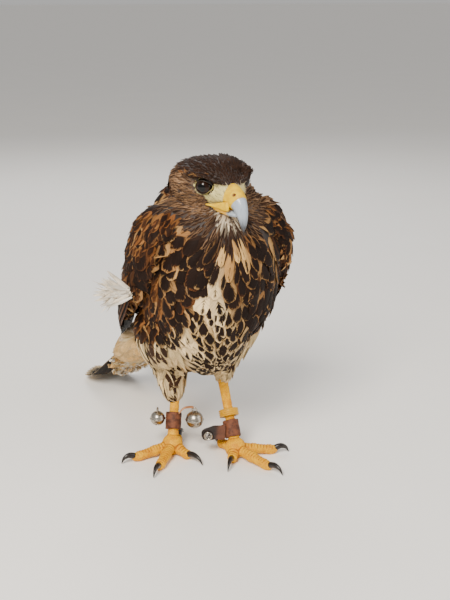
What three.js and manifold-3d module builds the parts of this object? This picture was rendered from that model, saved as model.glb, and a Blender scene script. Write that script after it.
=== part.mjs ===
// A perched Harris's hawk at life size, facing -Y, with +X to its own left and +Z up
import * as THREE from "three";
import Module from "manifold-3d";
import { mergeVertices } from "three/addons/utils/BufferGeometryUtils.js";

const wasm = await Module();
wasm.setup();

// Driving sizes in millimetres and degrees
const gap = 0.35;
const farOut = 600;
const headPlace = { x: -9, y: -43, z: 251, turn: 11, pitch: 12 };
const eyeSize = { radius: 7, aside: 15.6, ahead: 16.3, up: 0.6, facing: 36 };
const neckCut = { low: 216, high: 233, lean: 14 };
const feet = {
  right: { x: -33, y: -4, heelX: -15, heelY: 32 },
  left: { x: 16, y: -31, heelX: 17, heelY: 14 },
};
const heelHeight = 81;
const ballHeight = 8;
const tarsusRadius = 4.4;
const toeRadius = 4.8;
const footRadius = 9.3;
const ankletSize = { inner: 5.4, outer: 7, height: 15 };
const bandSize = { inner: 6, outer: 8.8, height: 6.5 };
const bells = {
  round: { x: -41.4, y: 10.4, z: 28.5, radius: 6.5 },
  acorn: { x: -12.4, y: -5.4, z: 28.9, radius: 7.8 },
};
const wingReach = { x: 20, y: 191, z: 43 };
const tailTip = { x: -42, y: 216, z: 7.2 };
const tailSize = { halfWidth: 27, featherHalfWidth: 10 };

const point = (x, y, z) => new THREE.Vector3(x, y, z);
const radians = THREE.MathUtils.degToRad;
const curve = (...points) => new THREE.CatmullRomCurve3(points, false, "centripetal");

// Colours by kind of surface
const looks = {
  dark: { color: 0x34241a, roughness: 0.85 },
  brown: { color: 0x5f4432, roughness: 0.85 },
  chestnut: { color: 0x8a5030, roughness: 0.85 },
  buff: { color: 0xdcc08c, roughness: 0.9 },
  cream: { color: 0xe6d6b4, roughness: 0.9 },
  yellow: { color: 0xf2be30, roughness: 0.5 },
  horn: { color: 0xa9b0b8, roughness: 0.35 },
  claw: { color: 0x231c1a, roughness: 0.3 },
  eye: { color: 0x1c100a, roughness: 0.05 },
  leather: { color: 0x764a3a, roughness: 0.7 },
  strap: { color: 0xbe9678, roughness: 0.7 },
  band: { color: 0xebcd1e, roughness: 0.35 },
  metal: { color: 0xc8c8c4, roughness: 0.25, metalness: 1 },
};

const hawk = new THREE.Group();
hawk.name = "hawk";

// A smooth value through a few [place, value] stops
function smooth(stops) {
  const last = stops.length - 1;
  const slope = (a, b) => (stops[b][1] - stops[a][1]) / (stops[b][0] - stops[a][0]);
  return (place) => {
    let i = 0;
    while (i < last - 1 && place > stops[i + 1][0]) i += 1;
    const span = stops[i + 1][0] - stops[i][0];
    const t = THREE.MathUtils.clamp((place - stops[i][0]) / span, 0, 1);
    const before = slope(Math.max(i - 1, 0), i + 1) * span;
    const after = slope(i, Math.min(i + 2, last)) * span;
    const rise = t * t * (3 - 2 * t);
    const bend = before * t * (1 - t) ** 2 - after * t * t * (1 - t);
    return stops[i][1] + (stops[i + 1][1] - stops[i][1]) * rise + bend;
  };
}

// A closed geometry as a solid that can be joined and cut
function solidOf(geometry) {
  const bare = geometry.clone();
  bare.deleteAttribute("normal");
  bare.deleteAttribute("uv");
  const merged = mergeVertices(bare, 1e-4);
  const vertProperties = new Float32Array(merged.attributes.position.array);
  const triVerts = new Uint32Array(merged.index.array);
  return new wasm.Manifold(new wasm.Mesh({ numProp: 3, vertProperties, triVerts }));
}

function largest(solid) {
  const pieces = solid.decompose();
  return pieces.reduce((best, piece) => (piece.volume() > best.volume() ? piece : best));
}

const joined = (first, ...others) => others.reduce((sum, other) => sum.add(other), first);

function carved(solid, ...rooms) {
  return largest(rooms.reduce((rest, room) => rest.subtract(room), solid));
}

function node(name, solid, look) {
  const { vertProperties, triVerts } = largest(solid).getMesh();
  const geometry = new THREE.BufferGeometry();
  geometry.setAttribute("position", new THREE.BufferAttribute(vertProperties, 3));
  geometry.setIndex(new THREE.BufferAttribute(triVerts, 1));
  geometry.computeVertexNormals();
  const mesh = new THREE.Mesh(geometry, new THREE.MeshStandardMaterial(looks[look]));
  mesh.name = name;
  hawk.add(mesh);
}

// A box whose upper face passes through a point, square to a direction
function below(spot, up) {
  const box = new THREE.BoxGeometry(farOut, farOut, farOut);
  box.translate(0, -farOut / 2, 0);
  const turn = new THREE.Quaternion().setFromUnitVectors(point(0, 1, 0), up);
  box.applyQuaternion(turn);
  box.translate(spot.x, spot.y, spot.z);
  return solidOf(box);
}

const underFloor = below(point(0, 0, 0), point(0, 0, 1));

// The axes of a section: along the line, over (near the hint) and across
function axesAt(line, share, hint) {
  const along = line.getTangentAt(share);
  const toward = typeof hint === "function" ? hint(share) : hint;
  const over = toward.clone().addScaledVector(along, -toward.dot(along)).normalize();
  return { along, over, across: over.clone().cross(along) };
}

function roundedEnd(share, [first, last]) {
  const start = first > 0 ? Math.min(share / first, 1) : 1;
  const end = last > 0 ? Math.min((1 - share) / last, 1) : 1;
  return Math.sqrt(start * (2 - start)) * Math.sqrt(end * (2 - end));
}

// A sphere drawn out along a line, with its own half sizes across, over and under
function swept(shape, extra = 0) {
  const { line, hint, width, over, under = over } = shape;
  const { ends = [0.12, 0.12], around = 16, along = 12, power = 1 } = shape;
  const tiny = 1e-6;
  const bulge = (part) => (Math.abs(part) < tiny ? 0 : Math.sign(part) * Math.abs(part) ** power);
  const geometry = new THREE.SphereGeometry(1, around, along);
  const spots = geometry.attributes.position;
  for (let i = 0; i < spots.count; i += 1) {
    const unit = point().fromBufferAttribute(spots, i);
    const share = THREE.MathUtils.clamp((1 - unit.y) / 2, 0, 1);
    const axes = axesAt(line, share, hint);
    const round = roundedEnd(share, ends);
    const reach = Math.hypot(unit.x, unit.z);
    const spot = line.getPointAt(share);
    spot.addScaledVector(axes.along, -unit.y * (reach < tiny ? extra : 0));
    if (reach > tiny) {
      const half = unit.z > 0 ? over(share) : under(share);
      spot.addScaledVector(axes.across, bulge(unit.x / reach) * (width(share) * round + extra));
      spot.addScaledVector(axes.over, bulge(unit.z / reach) * (half * round + extra));
    }
    spots.setXYZ(i, spot.x, spot.y, spot.z);
  }
  return solidOf(geometry);
}

// A feather vane along a line, split alike on both faces, with a rim between them
function vane({ line, hint, width, thick = 0.8, camber = 0.7, spans }) {
  const plane = new THREE.PlaneGeometry(2, 1, 2, spans);
  const flat = plane.attributes.position;
  const face = Array.from(plane.index.array);
  const positions = [];
  for (const lift of [thick / 2, -thick / 2]) {
    for (let i = 0; i < flat.count; i += 1) {
      const share = 0.5 - flat.getY(i);
      const { over, across } = axesAt(line, share, hint);
      const spot = line.getPointAt(share).addScaledVector(across, flat.getX(i) * width(share));
      spot.addScaledVector(over, lift - camber * flat.getX(i) ** 2);
      positions.push(spot.x, spot.y, spot.z);
    }
  }
  const under = face.map((corner) => corner + flat.count).reverse();
  const rim = [];
  for (let row = 0; row <= spans; row += 1) rim.push(row * 3);
  rim.push(spans * 3 + 1);
  for (let row = spans; row >= 0; row -= 1) rim.push(row * 3 + 2);
  rim.push(1);
  const walls = rim.flatMap((start, i) => {
    const end = rim[(i + 1) % rim.length];
    return [end, start, start + flat.count, end, start + flat.count, end + flat.count];
  });
  const geometry = new THREE.BufferGeometry();
  geometry.setAttribute("position", new THREE.Float32BufferAttribute(positions, 3));
  geometry.setIndex([...face, ...under, ...walls]);
  return solidOf(geometry);
}

// Part of a line between two shares of it
function stretch(line, from, to, steps = 6) {
  const shares = Array.from({ length: steps + 1 }, (_, i) => from + ((to - from) * i) / steps);
  return curve(...shares.map((share) => line.getPointAt(share)));
}

// A lathe-turned piece whose own axis runs from one point toward another
function turned(profile, from, toward, segments = 14) {
  const outline = profile.map(([radius, height]) => new THREE.Vector2(radius, height));
  const geometry = new THREE.LatheGeometry(outline, segments);
  const axis = toward.clone().sub(from).normalize();
  geometry.applyQuaternion(new THREE.Quaternion().setFromUnitVectors(point(0, 1, 0), axis));
  geometry.translate(from.x, from.y, from.z);
  return solidOf(geometry);
}

function ball(spot, radius, around = 16, along = 12) {
  const geometry = new THREE.SphereGeometry(radius, around, along);
  return solidOf(geometry.translate(spot.x, spot.y, spot.z));
}

// Torso and neck: level sections by their share of the height from belly to neck
const torsoShape = {
  line: curve(
    point(0, 14, 66),
    point(0, 9, 100),
    point(0, 4, 130),
    point(0, -6, 165),
    point(-1, -12, 195),
    point(-6, -17, 216),
    point(-11, -24, 248),
  ),
  hint: point(0, 1, 0),
  width: smooth([
    [0, 26], [0.1, 35], [0.2, 46], [0.36, 57], [0.55, 62],
    [0.72, 57], [0.83, 50], [0.92, 38], [1, 35],
  ]),
  over: smooth([
    [0, 34], [0.1, 43], [0.2, 52], [0.36, 62], [0.55, 60],
    [0.72, 50], [0.83, 41], [0.92, 35], [1, 30],
  ]),
  under: smooth([
    [0, 34], [0.1, 42], [0.2, 54], [0.36, 63], [0.55, 65],
    [0.72, 62], [0.83, 54], [0.92, 45], [1, 36],
  ]),
  ends: [0.16, 0.08],
  around: 20,
  along: 13,
};
const torsoRoom = swept(torsoShape, gap);

// Head axes, turned toward the bird's left and tipped down
const headTurn = new THREE.Euler(radians(headPlace.pitch), 0, radians(headPlace.turn), "ZYX");
const headMiddle = point(headPlace.x, headPlace.y, headPlace.z);
const headUp = point(0, 0, 1).applyEuler(headTurn);
const headSide = point(1, 0, 0).applyEuler(headTurn);
const headAhead = point(0, -1, 0).applyEuler(headTurn);

function headSpot(aside, ahead, up) {
  const spot = headMiddle.clone().addScaledVector(headSide, aside);
  return spot.addScaledVector(headAhead, ahead).addScaledVector(headUp, up);
}

const headShape = {
  line: curve(headSpot(1, -34, -4), headSpot(1.5, -10, -4), headSpot(1.5, 14, -3), headSpot(0, 32, -6)),
  hint: headUp,
  width: smooth([[0, 24], [0.2, 31], [0.4, 33], [0.6, 30], [0.76, 22], [0.9, 13], [1, 9]]),
  over: smooth([[0, 10], [0.25, 14.5], [0.5, 16.8], [0.7, 15.6], [0.85, 12.3], [1, 8.5]]),
  under: smooth([[0, 28], [0.3, 29], [0.55, 25], [0.75, 17.5], [0.9, 12.5], [1, 8]]),
  ends: [0.2, 0.05],
  around: 18,
  along: 11,
};

function eyeSpot(side) {
  return headSpot(side * eyeSize.aside, eyeSize.ahead, eyeSize.up);
}

function eyeFacing(side) {
  const turn = radians(eyeSize.facing);
  const facing = headSide.clone().multiplyScalar(side * Math.cos(turn));
  return facing.addScaledVector(headAhead, Math.sin(turn)).addScaledVector(headUp, 0.05).normalize();
}

function lidRing(side) {
  const outward = 3.6;
  const ring = new THREE.TorusGeometry(6.6, 1.2, 5, 12);
  ring.applyQuaternion(new THREE.Quaternion().setFromUnitVectors(point(0, 0, 1), eyeFacing(side)));
  const spot = eyeSpot(side).addScaledVector(eyeFacing(side), outward);
  return solidOf(ring.translate(spot.x, spot.y, spot.z));
}

function browRidge(side) {
  return swept({
    line: curve(
      headSpot(side * 8, 28, 5.5),
      headSpot(side * 17, 23, 8),
      headSpot(side * 22.5, 14, 8.2),
      headSpot(side * 26, 0, 5),
    ),
    hint: headUp,
    width: smooth([[0, 2], [0.5, 3.8], [1, 2]]),
    over: smooth([[0, 2], [0.5, 3], [1, 1.5]]),
    around: 6,
    along: 6,
  });
}

// The mouth slit runs back from the bill to under the eye
function mouthSlit(side, thickness) {
  return swept({
    line: curve(
      headSpot(side * 18, 13.5, -17),
      headSpot(side * 12, 24, -16.6),
      headSpot(side * 7, 34, -15),
    ),
    hint: headUp,
    width: smooth([[0, 4], [1, 7]]),
    over: () => thickness,
    around: 6,
    along: 5,
  });
}

const billShape = {
  line: curve(
    headSpot(0, 20, -6),
    headSpot(0, 32, -5),
    headSpot(0, 40, -7.5),
    headSpot(0, 45.8, -14),
    headSpot(0, 48.6, -20),
    headSpot(0, 50.2, -27),
  ),
  hint: (share) => headUp.clone().addScaledVector(headAhead, 1.6 * share),
  width: smooth([[0, 8], [0.3, 7.8], [0.5, 6.6], [0.65, 5.2], [0.8, 3.6], [1, 1.3]]),
  over: smooth([[0, 9.4], [0.3, 9.8], [0.5, 7.8], [0.65, 5.8], [0.8, 3.8], [1, 1.5]]),
  under: smooth([[0, 8.5], [0.35, 8.8], [0.5, 7.2], [0.65, 5.2], [0.8, 3.4], [1, 1.4]]),
  ends: [0.02, 0.1],
  around: 12,
  along: 12,
};
const lowerBillShape = {
  line: curve(headSpot(0, 14, -18), headSpot(0, 30, -17.5), headSpot(0, 41, -17)),
  hint: headUp,
  width: smooth([[0, 11], [0.5, 7.2], [1, 3]]),
  over: smooth([[0, 3], [1, 1.6]]),
  under: smooth([[0, 4.4], [0.6, 3.6], [1, 1.8]]),
  ends: [0.05, 0.12],
  around: 10,
  along: 6,
};

function buildHead() {
  const skull = swept(headShape);
  const ridges = [-1, 1].flatMap((side) => [lidRing(side), browRidge(side)]);
  const neckUp = point(0, -Math.sin(radians(neckCut.lean)), Math.cos(radians(neckCut.lean)));
  const middle = (height) => point(headPlace.x, headPlace.y, height);
  const underHead = below(middle(neckCut.high + gap), neckUp);
  const underNeck = below(middle(neckCut.high), neckUp);
  const overTorso = below(middle(neckCut.low + gap), neckUp);
  const underTorso = below(middle(neckCut.low), neckUp);
  const whole = joined(swept(torsoShape), skull, ...ridges);
  const eyeRooms = [-1, 1].map((side) => ball(eyeSpot(side), eyeSize.radius + gap, 12, 8));
  const slits = [-1, 1].map((side) => mouthSlit(side, 0.9));
  const head = carved(whole, underHead, ...eyeRooms, ...slits);
  node("head", head, "brown");
  node("neck", carved(whole.intersect(underNeck), overTorso), "brown");
  node("torso", whole.intersect(underTorso), "dark");
  for (const [name, side] of [["right", -1], ["left", 1]]) {
    node("eye_" + name, ball(eyeSpot(side), eyeSize.radius, 12, 8), "eye");
  }
  return swept(headShape, gap);
}

function buildBill(headRoom) {
  const upper = swept(billShape);
  const nostrils = [-1, 1].map((side) => ball(headSpot(side * 8, 38, -1.6), 1.9, 8, 6));
  const cereFront = headAhead.clone().addScaledVector(headUp, -0.6).normalize();
  const backing = below(headSpot(0, 43.6, 0), cereFront);
  const fronting = below(headSpot(0, 43.6, 0).addScaledVector(cereFront, gap), cereFront);
  const lowerRoom = swept(lowerBillShape, gap);
  node("cere", carved(upper.intersect(backing), headRoom, torsoRoom, lowerRoom, ...nostrils), "yellow");
  node("bill_upper", carved(upper, fronting, lowerRoom), "horn");
  node("bill_lower", carved(swept(lowerBillShape), headRoom, torsoRoom), "horn");
}

// Folded wing: a surface by its share of the way to the tip and an angle round it
function wingFrame(side) {
  const line = curve(
    point(side * 36, -32, 229),
    point(side * 50, -20, 200),
    point(side * 50, 14, 160),
    point(side * 39, 58, 128),
    point(side * 30, 101, 101),
    point(side * 24, 146, 72),
    point(side * wingReach.x, wingReach.y, wingReach.z),
  );
  return {
    line,
    hint: (share) => point(side, -0.1 + 0.9 * share, 0.2 + 1.1 * share),
    width: smooth([[0, 14], [0.12, 29], [0.3, 38], [0.5, 31], [0.7, 22], [1, 9]]),
    over: smooth([[0, 20], [0.15, 22], [0.3, 20], [0.45, 14], [0.6, 8], [0.8, 4], [1, 1.5]]),
    under: () => 2,
    ends: [0.1, 0.1],
  };
}

// A place on the wing: share of its length, turn round it (up is toward the back), and lift
function wingPlace(frame, side, share, turn, lift) {
  const { over, across } = axesAt(frame.line, share, frame.hint);
  const angle = radians(turn * side);
  const width = frame.width(share);
  const depth = frame.over(share);
  const normal = over.clone().multiplyScalar(Math.cos(angle) / depth);
  normal.addScaledVector(across, Math.sin(angle) / width).normalize();
  const spot = frame.line.getPointAt(share).addScaledVector(over, depth * Math.cos(angle));
  spot.addScaledVector(across, width * Math.sin(angle)).addScaledVector(normal, lift);
  return { spot, normal, upward: across.clone().multiplyScalar(side) };
}

// One tier of wing feathers, each lying over the one below it
function wingTier(frame, side, tier) {
  const vanes = [];
  for (let i = 0; i < tier.count; i += 1) {
    const place = i / (tier.count - 1);
    const from = tier.root(place);
    const to = tier.tip(place);
    const at = (share) => {
      const along = THREE.MathUtils.lerp(from.share, to.share, share);
      const turn = THREE.MathUtils.lerp(from.turn, to.turn, share);
      return wingPlace(frame, side, along, turn, tier.lift(share, place));
    };
    const line = curve(...[0, 0.25, 0.5, 0.75, 1].map((share) => at(share).spot));
    const hint = (share) => {
      const { normal, upward } = at(share);
      return normal.addScaledVector(upward, tier.roll);
    };
    const width = (share) => tier.halfWidth * featherOutline(share);
    vanes.push(vane({ line, hint, width, spans: tier.spans }));
  }
  return vanes;
}

const featherOutline = smooth([[0, 0.45], [0.3, 0.85], [0.7, 1], [0.88, 0.85], [1, 0.3]]);

const wingTiers = [
  {
    count: 6,
    root: (place) => ({ share: 0.17, turn: -56 + 90 * place }),
    tip: (place) => ({ share: 0.42 + 0.06 * place, turn: -58 + 110 * place }),
    lift: (share) => -2 + 3.6 * Math.min(share * 2.2, 1),
    halfWidth: 11,
    roll: 0.22,
    spans: 3,
  },
  {
    count: 7,
    root: (place) => ({ share: 0.3, turn: -58 + 98 * place }),
    tip: (place) => ({ share: 0.6 + 0.12 * place, turn: -56 + 110 * place }),
    lift: (share) => -3 + 3.2 * Math.min(share * 2, 1),
    halfWidth: 12,
    roll: 0.22,
    spans: 3,
  },
  {
    count: 6,
    root: (place) => ({ share: 0.42, turn: -46 + 30 * place }),
    tip: (place) => ({ share: 0.78 + 0.22 * place ** 0.8, turn: -44 + 48 * place }),
    lift: (share, place) => -5.5 + 3 * Math.min(share * 2, 1) + 2 * place,
    halfWidth: 8,
    roll: 0.05,
    spans: 3,
  },
];

function buildWing(name, side) {
  const frame = wingFrame(side);
  const coreEnd = 0.6;
  const core = {
    line: stretch(frame.line, 0, coreEnd),
    hint: (share) => frame.hint(share * coreEnd),
    width: (share) => frame.width(share * coreEnd) * (1 - 0.25 * share),
    over: (share) => frame.over(share * coreEnd) * (1 - 0.3 * share),
    under: frame.under,
    ends: [0.16, 0.3],
    around: 12,
    along: 8,
  };
  const vanes = wingTiers.flatMap((tier) => wingTier(frame, side, tier));
  const wing = carved(joined(swept(core), ...vanes), torsoRoom);
  node("wing_" + name, wing, "chestnut");
  return { core: swept(core, gap), wing };
}

function tailFrame() {
  return {
    line: curve(
      point(0, 58, 122),
      point(-10, 98, 87),
      point(-24, 145, 46),
      point(-35, 184, 15),
      point(tailTip.x, tailTip.y, tailTip.z),
    ),
    hint: point(0, 0.6, 0.8),
  };
}

// A place on the tail, aside of its middle line and over it
function tailPlace(frame, share, aside, lift) {
  const { over, across } = axesAt(frame.line, share, frame.hint);
  return frame.line.getPointAt(share).addScaledVector(across, aside).addScaledVector(over, lift);
}

function buildTail() {
  const frame = tailFrame();
  const root = swept({
    line: stretch(frame.line, 0, 0.16),
    hint: frame.hint,
    width: smooth([[0, 13], [1, 15]]),
    over: () => 1,
    under: () => 7,
    ends: [0.1, 0.3],
    around: 10,
    along: 5,
  });
  const vanes = [];
  for (let i = -5.5; i <= 5.5; i += 1) {
    const layer = -0.6 - 1.2 * Math.abs(i);
    const spots = [0.04, 0.28, 0.52, 0.76, 1 - 0.002 * i * i];
    const line = curve(
      ...spots.map((share) => tailPlace(frame, share, i * (1.4 + 2.1 * share), layer)),
    );
    const width = (share) => tailSize.featherHalfWidth * featherOutline(share);
    vanes.push(vane({ line, hint: frame.hint, width, camber: 0.1, spans: 4 }));
  }
  const tailRoom = swept({
    ...frame,
    width: smooth([[0, 16], [0.3, 26], [1, tailSize.halfWidth + 7]]),
    over: () => 1.5 + gap,
    under: () => 11 + gap,
    ends: [0, 0.02],
    around: 12,
    power: 0.4,
  });
  node("tail", carved(joined(root, ...vanes), torsoRoom, underFloor), "dark");
  buildCoverts(frame, tailRoom);
}

// The coverts over and under the root of the tail
function buildCoverts(frame, tailRoom) {
  const undertail = swept({
    line: curve(point(-4, 54, 95), point(-20, 87, 75), point(-30, 140, 37)),
    hint: frame.hint,
    width: smooth([[0, 27], [0.45, 35], [1, 20]]),
    over: smooth([[0, 22], [0.5, 18], [1, 5]]),
    under: smooth([[0, 15], [0.5, 18], [1, 5]]),
    ends: [0.1, 0.3],
    around: 12,
    along: 7,
  });
  const tips = [];
  for (let i = -2; i <= 2; i += 1) {
    const layer = 1.3 * Math.abs(i);
    const line = curve(
      tailPlace(frame, 0.34, i * 9, layer - 17),
      tailPlace(frame, 0.52, i * 9, layer - 15.5),
      tailPlace(frame, 0.74 - 0.012 * i * i, i * 7.6, layer - 12),
    );
    const width = (share) => 8.5 * featherOutline(share);
    tips.push(vane({ line, hint: frame.hint, width, camber: 0.1, spans: 3 }));
  }
  const rump = swept({
    line: curve(point(0, 48, 148), point(-8, 84, 108), point(-19, 125, 69)),
    hint: frame.hint,
    width: smooth([[0, 20], [0.5, 13], [1, 9]]),
    over: smooth([[0, 10], [0.5, 6], [1, 3]]),
    ends: [0.1, 0.3],
    around: 12,
    along: 7,
  });
  const rumpTips = [];
  for (let i = -1; i <= 1; i += 1) {
    const layer = 7.5 - 1.3 * Math.abs(i);
    const line = curve(
      tailPlace(frame, 0.2, i * 7, layer),
      tailPlace(frame, 0.36, i * 7, layer - 0.5),
      tailPlace(frame, 0.54 - 0.012 * i * i, i * 7, layer - 3.5),
    );
    const width = (share) => 7 * featherOutline(share);
    rumpTips.push(vane({ line, hint: frame.hint, width, camber: 0.1, spans: 3 }));
  }
  const under = joined(undertail, ...tips);
  node("undertail", carved(under, torsoRoom, tailRoom, underFloor), "buff");
  node("rump", carved(joined(rump, ...rumpTips), torsoRoom, tailRoom), "cream");
}

// The white down that sticks out beside the right wing
function buildTuft(wing) {
  const root = point(-74, -13, 154);
  const locks = [ball(root, 6, 8, 6)];
  const count = 5;
  for (let i = 0; i < count; i += 1) {
    const rise = -0.75 + (1.5 * i) / (count - 1);
    const reach = point(-0.92, 0.37, rise).normalize();
    const length = 24 - 4 * Math.abs(rise);
    const bend = point(0, i % 2 ? 1 : -2.5, 2);
    const at = (share) => root.clone().addScaledVector(reach, length * share);
    const line = curve(at(0.1), at(0.5).add(bend), at(0.8).add(bend), at(1.05));
    const width = smooth([[0, 2], [0.5, 4.2], [1, 0.5]]);
    locks.push(vane({ line, hint: point(0.3, -0.9, 0.2), width, camber: 0.2, spans: 2 }));
  }
  node("down_tuft", carved(joined(...locks), wing, wing.translate([-gap, -gap, 0]), torsoRoom), "cream");
}

function tarsusLine(leg) {
  const top = point(leg.heelX, leg.heelY, heelHeight);
  return curve(top, point(leg.x, leg.y, ballHeight));
}

function thighShape(leg, side, bottom) {
  const line = tarsusLine(leg);
  const end = line.getPointAt((heelHeight - bottom) / (heelHeight - ballHeight));
  return {
    line: curve(
      point(side * 38, -4, 132),
      point(side * 36, 8, 108),
      point(leg.heelX + side * 10, leg.heelY - 6, heelHeight),
      end,
    ),
    hint: point(0, 1, 0),
    width: smooth([[0, 24], [0.35, 25], [0.7, 17], [1, 8]]),
    over: smooth([[0, 26], [0.35, 26], [0.7, 17], [1, 7]]),
    under: smooth([[0, 32], [0.35, 28], [0.7, 18], [1, 8]]),
    ends: [0.15, 0.08],
  };
}

const toeSets = {
  right: [
    { name: "hallux", dx: 13, dy: 20, claw: 25 },
    { name: "inner", dx: 9, dy: -21, claw: 22 },
    { name: "middle", dx: -24, dy: -32, claw: 18 },
    { name: "outer", dx: -39, dy: -5, claw: 15 },
  ],
  left: [
    { name: "hallux", dx: -6, dy: 25, claw: 25 },
    { name: "inner", dx: -10, dy: -15, claw: 22 },
    { name: "middle", dx: 17, dy: -40, claw: 18 },
    { name: "outer", dx: 37, dy: -9, claw: 15 },
  ],
};

function toeShape(foot, toe) {
  const reach = point(toe.dx, toe.dy, 0);
  return {
    line: curve(
      point(foot.x, foot.y, ballHeight),
      point(foot.x, foot.y, ballHeight - 2).addScaledVector(reach, 0.45),
      point(foot.x, foot.y, toeRadius - 1).add(reach),
    ),
    hint: point(0, 0, 1),
    width: smooth([[0, 5.2], [0.4, 4.7], [0.7, 4.6], [1, 3.8]]),
    over: smooth([[0, 5.2], [0.4, 4.6], [1, 3.8]]),
    under: () => toeRadius,
    ends: [0.1, 0.14],
    around: 10,
    along: 7,
  };
}

function clawShape(foot, toe) {
  const reach = point(toe.dx, toe.dy, 0);
  const ahead = reach.clone().normalize();
  const start = point(foot.x, foot.y, toeRadius + 0.4).add(reach).addScaledVector(ahead, -3);
  const place = (out, height) => start.clone().addScaledVector(ahead, out * toe.claw).setZ(height);
  return {
    line: curve(start, place(0.35, 7), place(0.66, 5.4), place(0.84, 1.6)),
    hint: point(0, 0, 1),
    width: smooth([[0, 2.7], [0.4, 2.2], [1, 0.35]]),
    over: smooth([[0, 2.9], [0.4, 2.4], [1, 0.35]]),
    ends: [0.05, 0.02],
    around: 8,
    along: 5,
  };
}

function buildFoot(name, foot, tarsusRoom) {
  const footBall = point(foot.x, foot.y, ballHeight);
  const ballRoom = ball(footBall, footRadius + gap, 14, 10);
  node("foot_" + name, carved(ball(footBall, footRadius, 14, 10), underFloor), "yellow");
  const rooms = [ballRoom, tarsusRoom];
  for (const toe of toeSets[name]) {
    const shape = toeShape(foot, toe);
    const claw = clawShape(foot, toe);
    node("toe_" + name + "_" + toe.name, carved(swept(shape), underFloor, ...rooms), "yellow");
    node("claw_" + name + "_" + toe.name, carved(swept(claw), swept(shape, gap)), "claw");
    rooms.push(swept(shape, gap));
  }
  return ballRoom;
}

function buildLeg(name, side, bottom, wingRoom) {
  const leg = feet[name];
  const thigh = thighShape(leg, side, bottom);
  node("thigh_" + name, carved(swept(thigh), torsoRoom, wingRoom), "cream");
  const tarsus = {
    line: tarsusLine(leg),
    hint: point(0, -1, 0),
    width: smooth([[0, 5.5], [0.3, 4.4], [0.8, tarsusRadius], [1, 5.4]]),
    over: smooth([[0, 5.5], [0.3, 4.4], [0.8, tarsusRadius], [1, 5.4]]),
    ends: [0.05, 0.02],
    around: 12,
    along: 12,
  };
  const ballRoom = buildFoot(name, leg, swept(tarsus, gap));
  node("tarsus_" + name, carved(swept(tarsus), swept(thigh, gap), ballRoom), "yellow");
}

// A collar round the leg between two heights, with a profile of [radius, height] stops
function collar(leg, low, profile) {
  const line = tarsusLine(leg);
  const shareAt = (height) => (heelHeight - height) / (heelHeight - ballHeight);
  return turned(profile, line.getPointAt(shareAt(low)), line.getPointAt(shareAt(low + 8)));
}

function bandProfile({ inner, outer, height }, grow = 0, ridges = 0) {
  const outside = [[outer - 0.6 + grow, -grow], [outer + grow, 0.7]];
  for (let i = 0; i < ridges; i += 1) {
    const rise = 0.7 + ((height - 1.4) * (i + 0.5)) / ridges;
    outside.push([outer - 0.7, rise - 0.25], [outer - 0.7, rise + 0.25]);
    outside.push([outer, 0.7 + ((height - 1.4) * (i + 1)) / ridges]);
  }
  if (ridges === 0) outside.push([outer + grow, height - 0.7]);
  outside.push([outer - 0.6 + grow, height + grow]);
  const bore = Math.max(inner - grow, 0.5);
  return [[bore, -grow], ...outside, [bore, height + grow], [bore, -grow]];
}

function bellSolid({ x, y, z, radius }, slotTurn) {
  const profile = [];
  const steps = 8;
  for (let i = 0; i <= steps; i += 1) {
    const angle = -Math.PI / 2 + (Math.PI * i) / steps;
    const rim = i === steps / 2 ? 0.7 : 0;
    profile.push([Math.max(radius * Math.cos(angle) + rim, 0), radius * Math.sin(angle)]);
  }
  profile[0][0] = 0;
  profile[steps][0] = 0;
  const middle = point(x, y, z);
  const body = turned(profile, middle, point(x, y, z + 1), 14);
  const slot = new THREE.BoxGeometry(radius * 1.5, 1.2, radius * 0.9);
  slot.rotateZ(radians(slotTurn));
  slot.translate(x, y, z - radius * 0.8);
  const loop = new THREE.TorusGeometry(1.9, 0.7, 5, 8);
  loop.rotateZ(radians(slotTurn));
  loop.translate(x, y, z + radius + 1.2);
  return joined(body.subtract(solidOf(slot)), solidOf(loop));
}

// What the bird wears: leather anklets, a ringed band and two bells
function buildWear() {
  const bottom = { right: 19.5, left: 16 };
  const rooms = {};
  for (const name of ["right", "left"]) {
    node("anklet_" + name, collar(feet[name], bottom[name], bandProfile(ankletSize)), "leather");
    rooms[name] = collar(feet[name], bottom[name], bandProfile({ ...ankletSize, inner: 3 }, gap));
  }
  const bandBottom = bottom.left + ankletSize.height + 0.6;
  node("leg_band", collar(feet.left, bandBottom, bandProfile(bandSize, 0, 2)), "band");
  node("bell_round", carved(bellSolid(bells.round, 60), rooms.right), "metal");
  node("bell_acorn", bellSolid(bells.acorn, -22), "metal");
  const topOfBell = bells.acorn.z + bells.acorn.radius + 2.4;
  const strap = swept({
    line: curve(
      point(-25, 1, 34),
      point(-20.5, -1.5, 39.5),
      point(-16, -4, topOfBell + 1.6),
      point(bells.acorn.x - 0.5, bells.acorn.y, topOfBell + 1.4),
    ),
    hint: point(0, 0, 1),
    width: () => 2.2,
    over: () => 0.7,
    around: 8,
    along: 8,
  });
  node("bell_strap", carved(strap, rooms.right), "strap");
  buildFlap(rooms.left);
}

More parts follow.
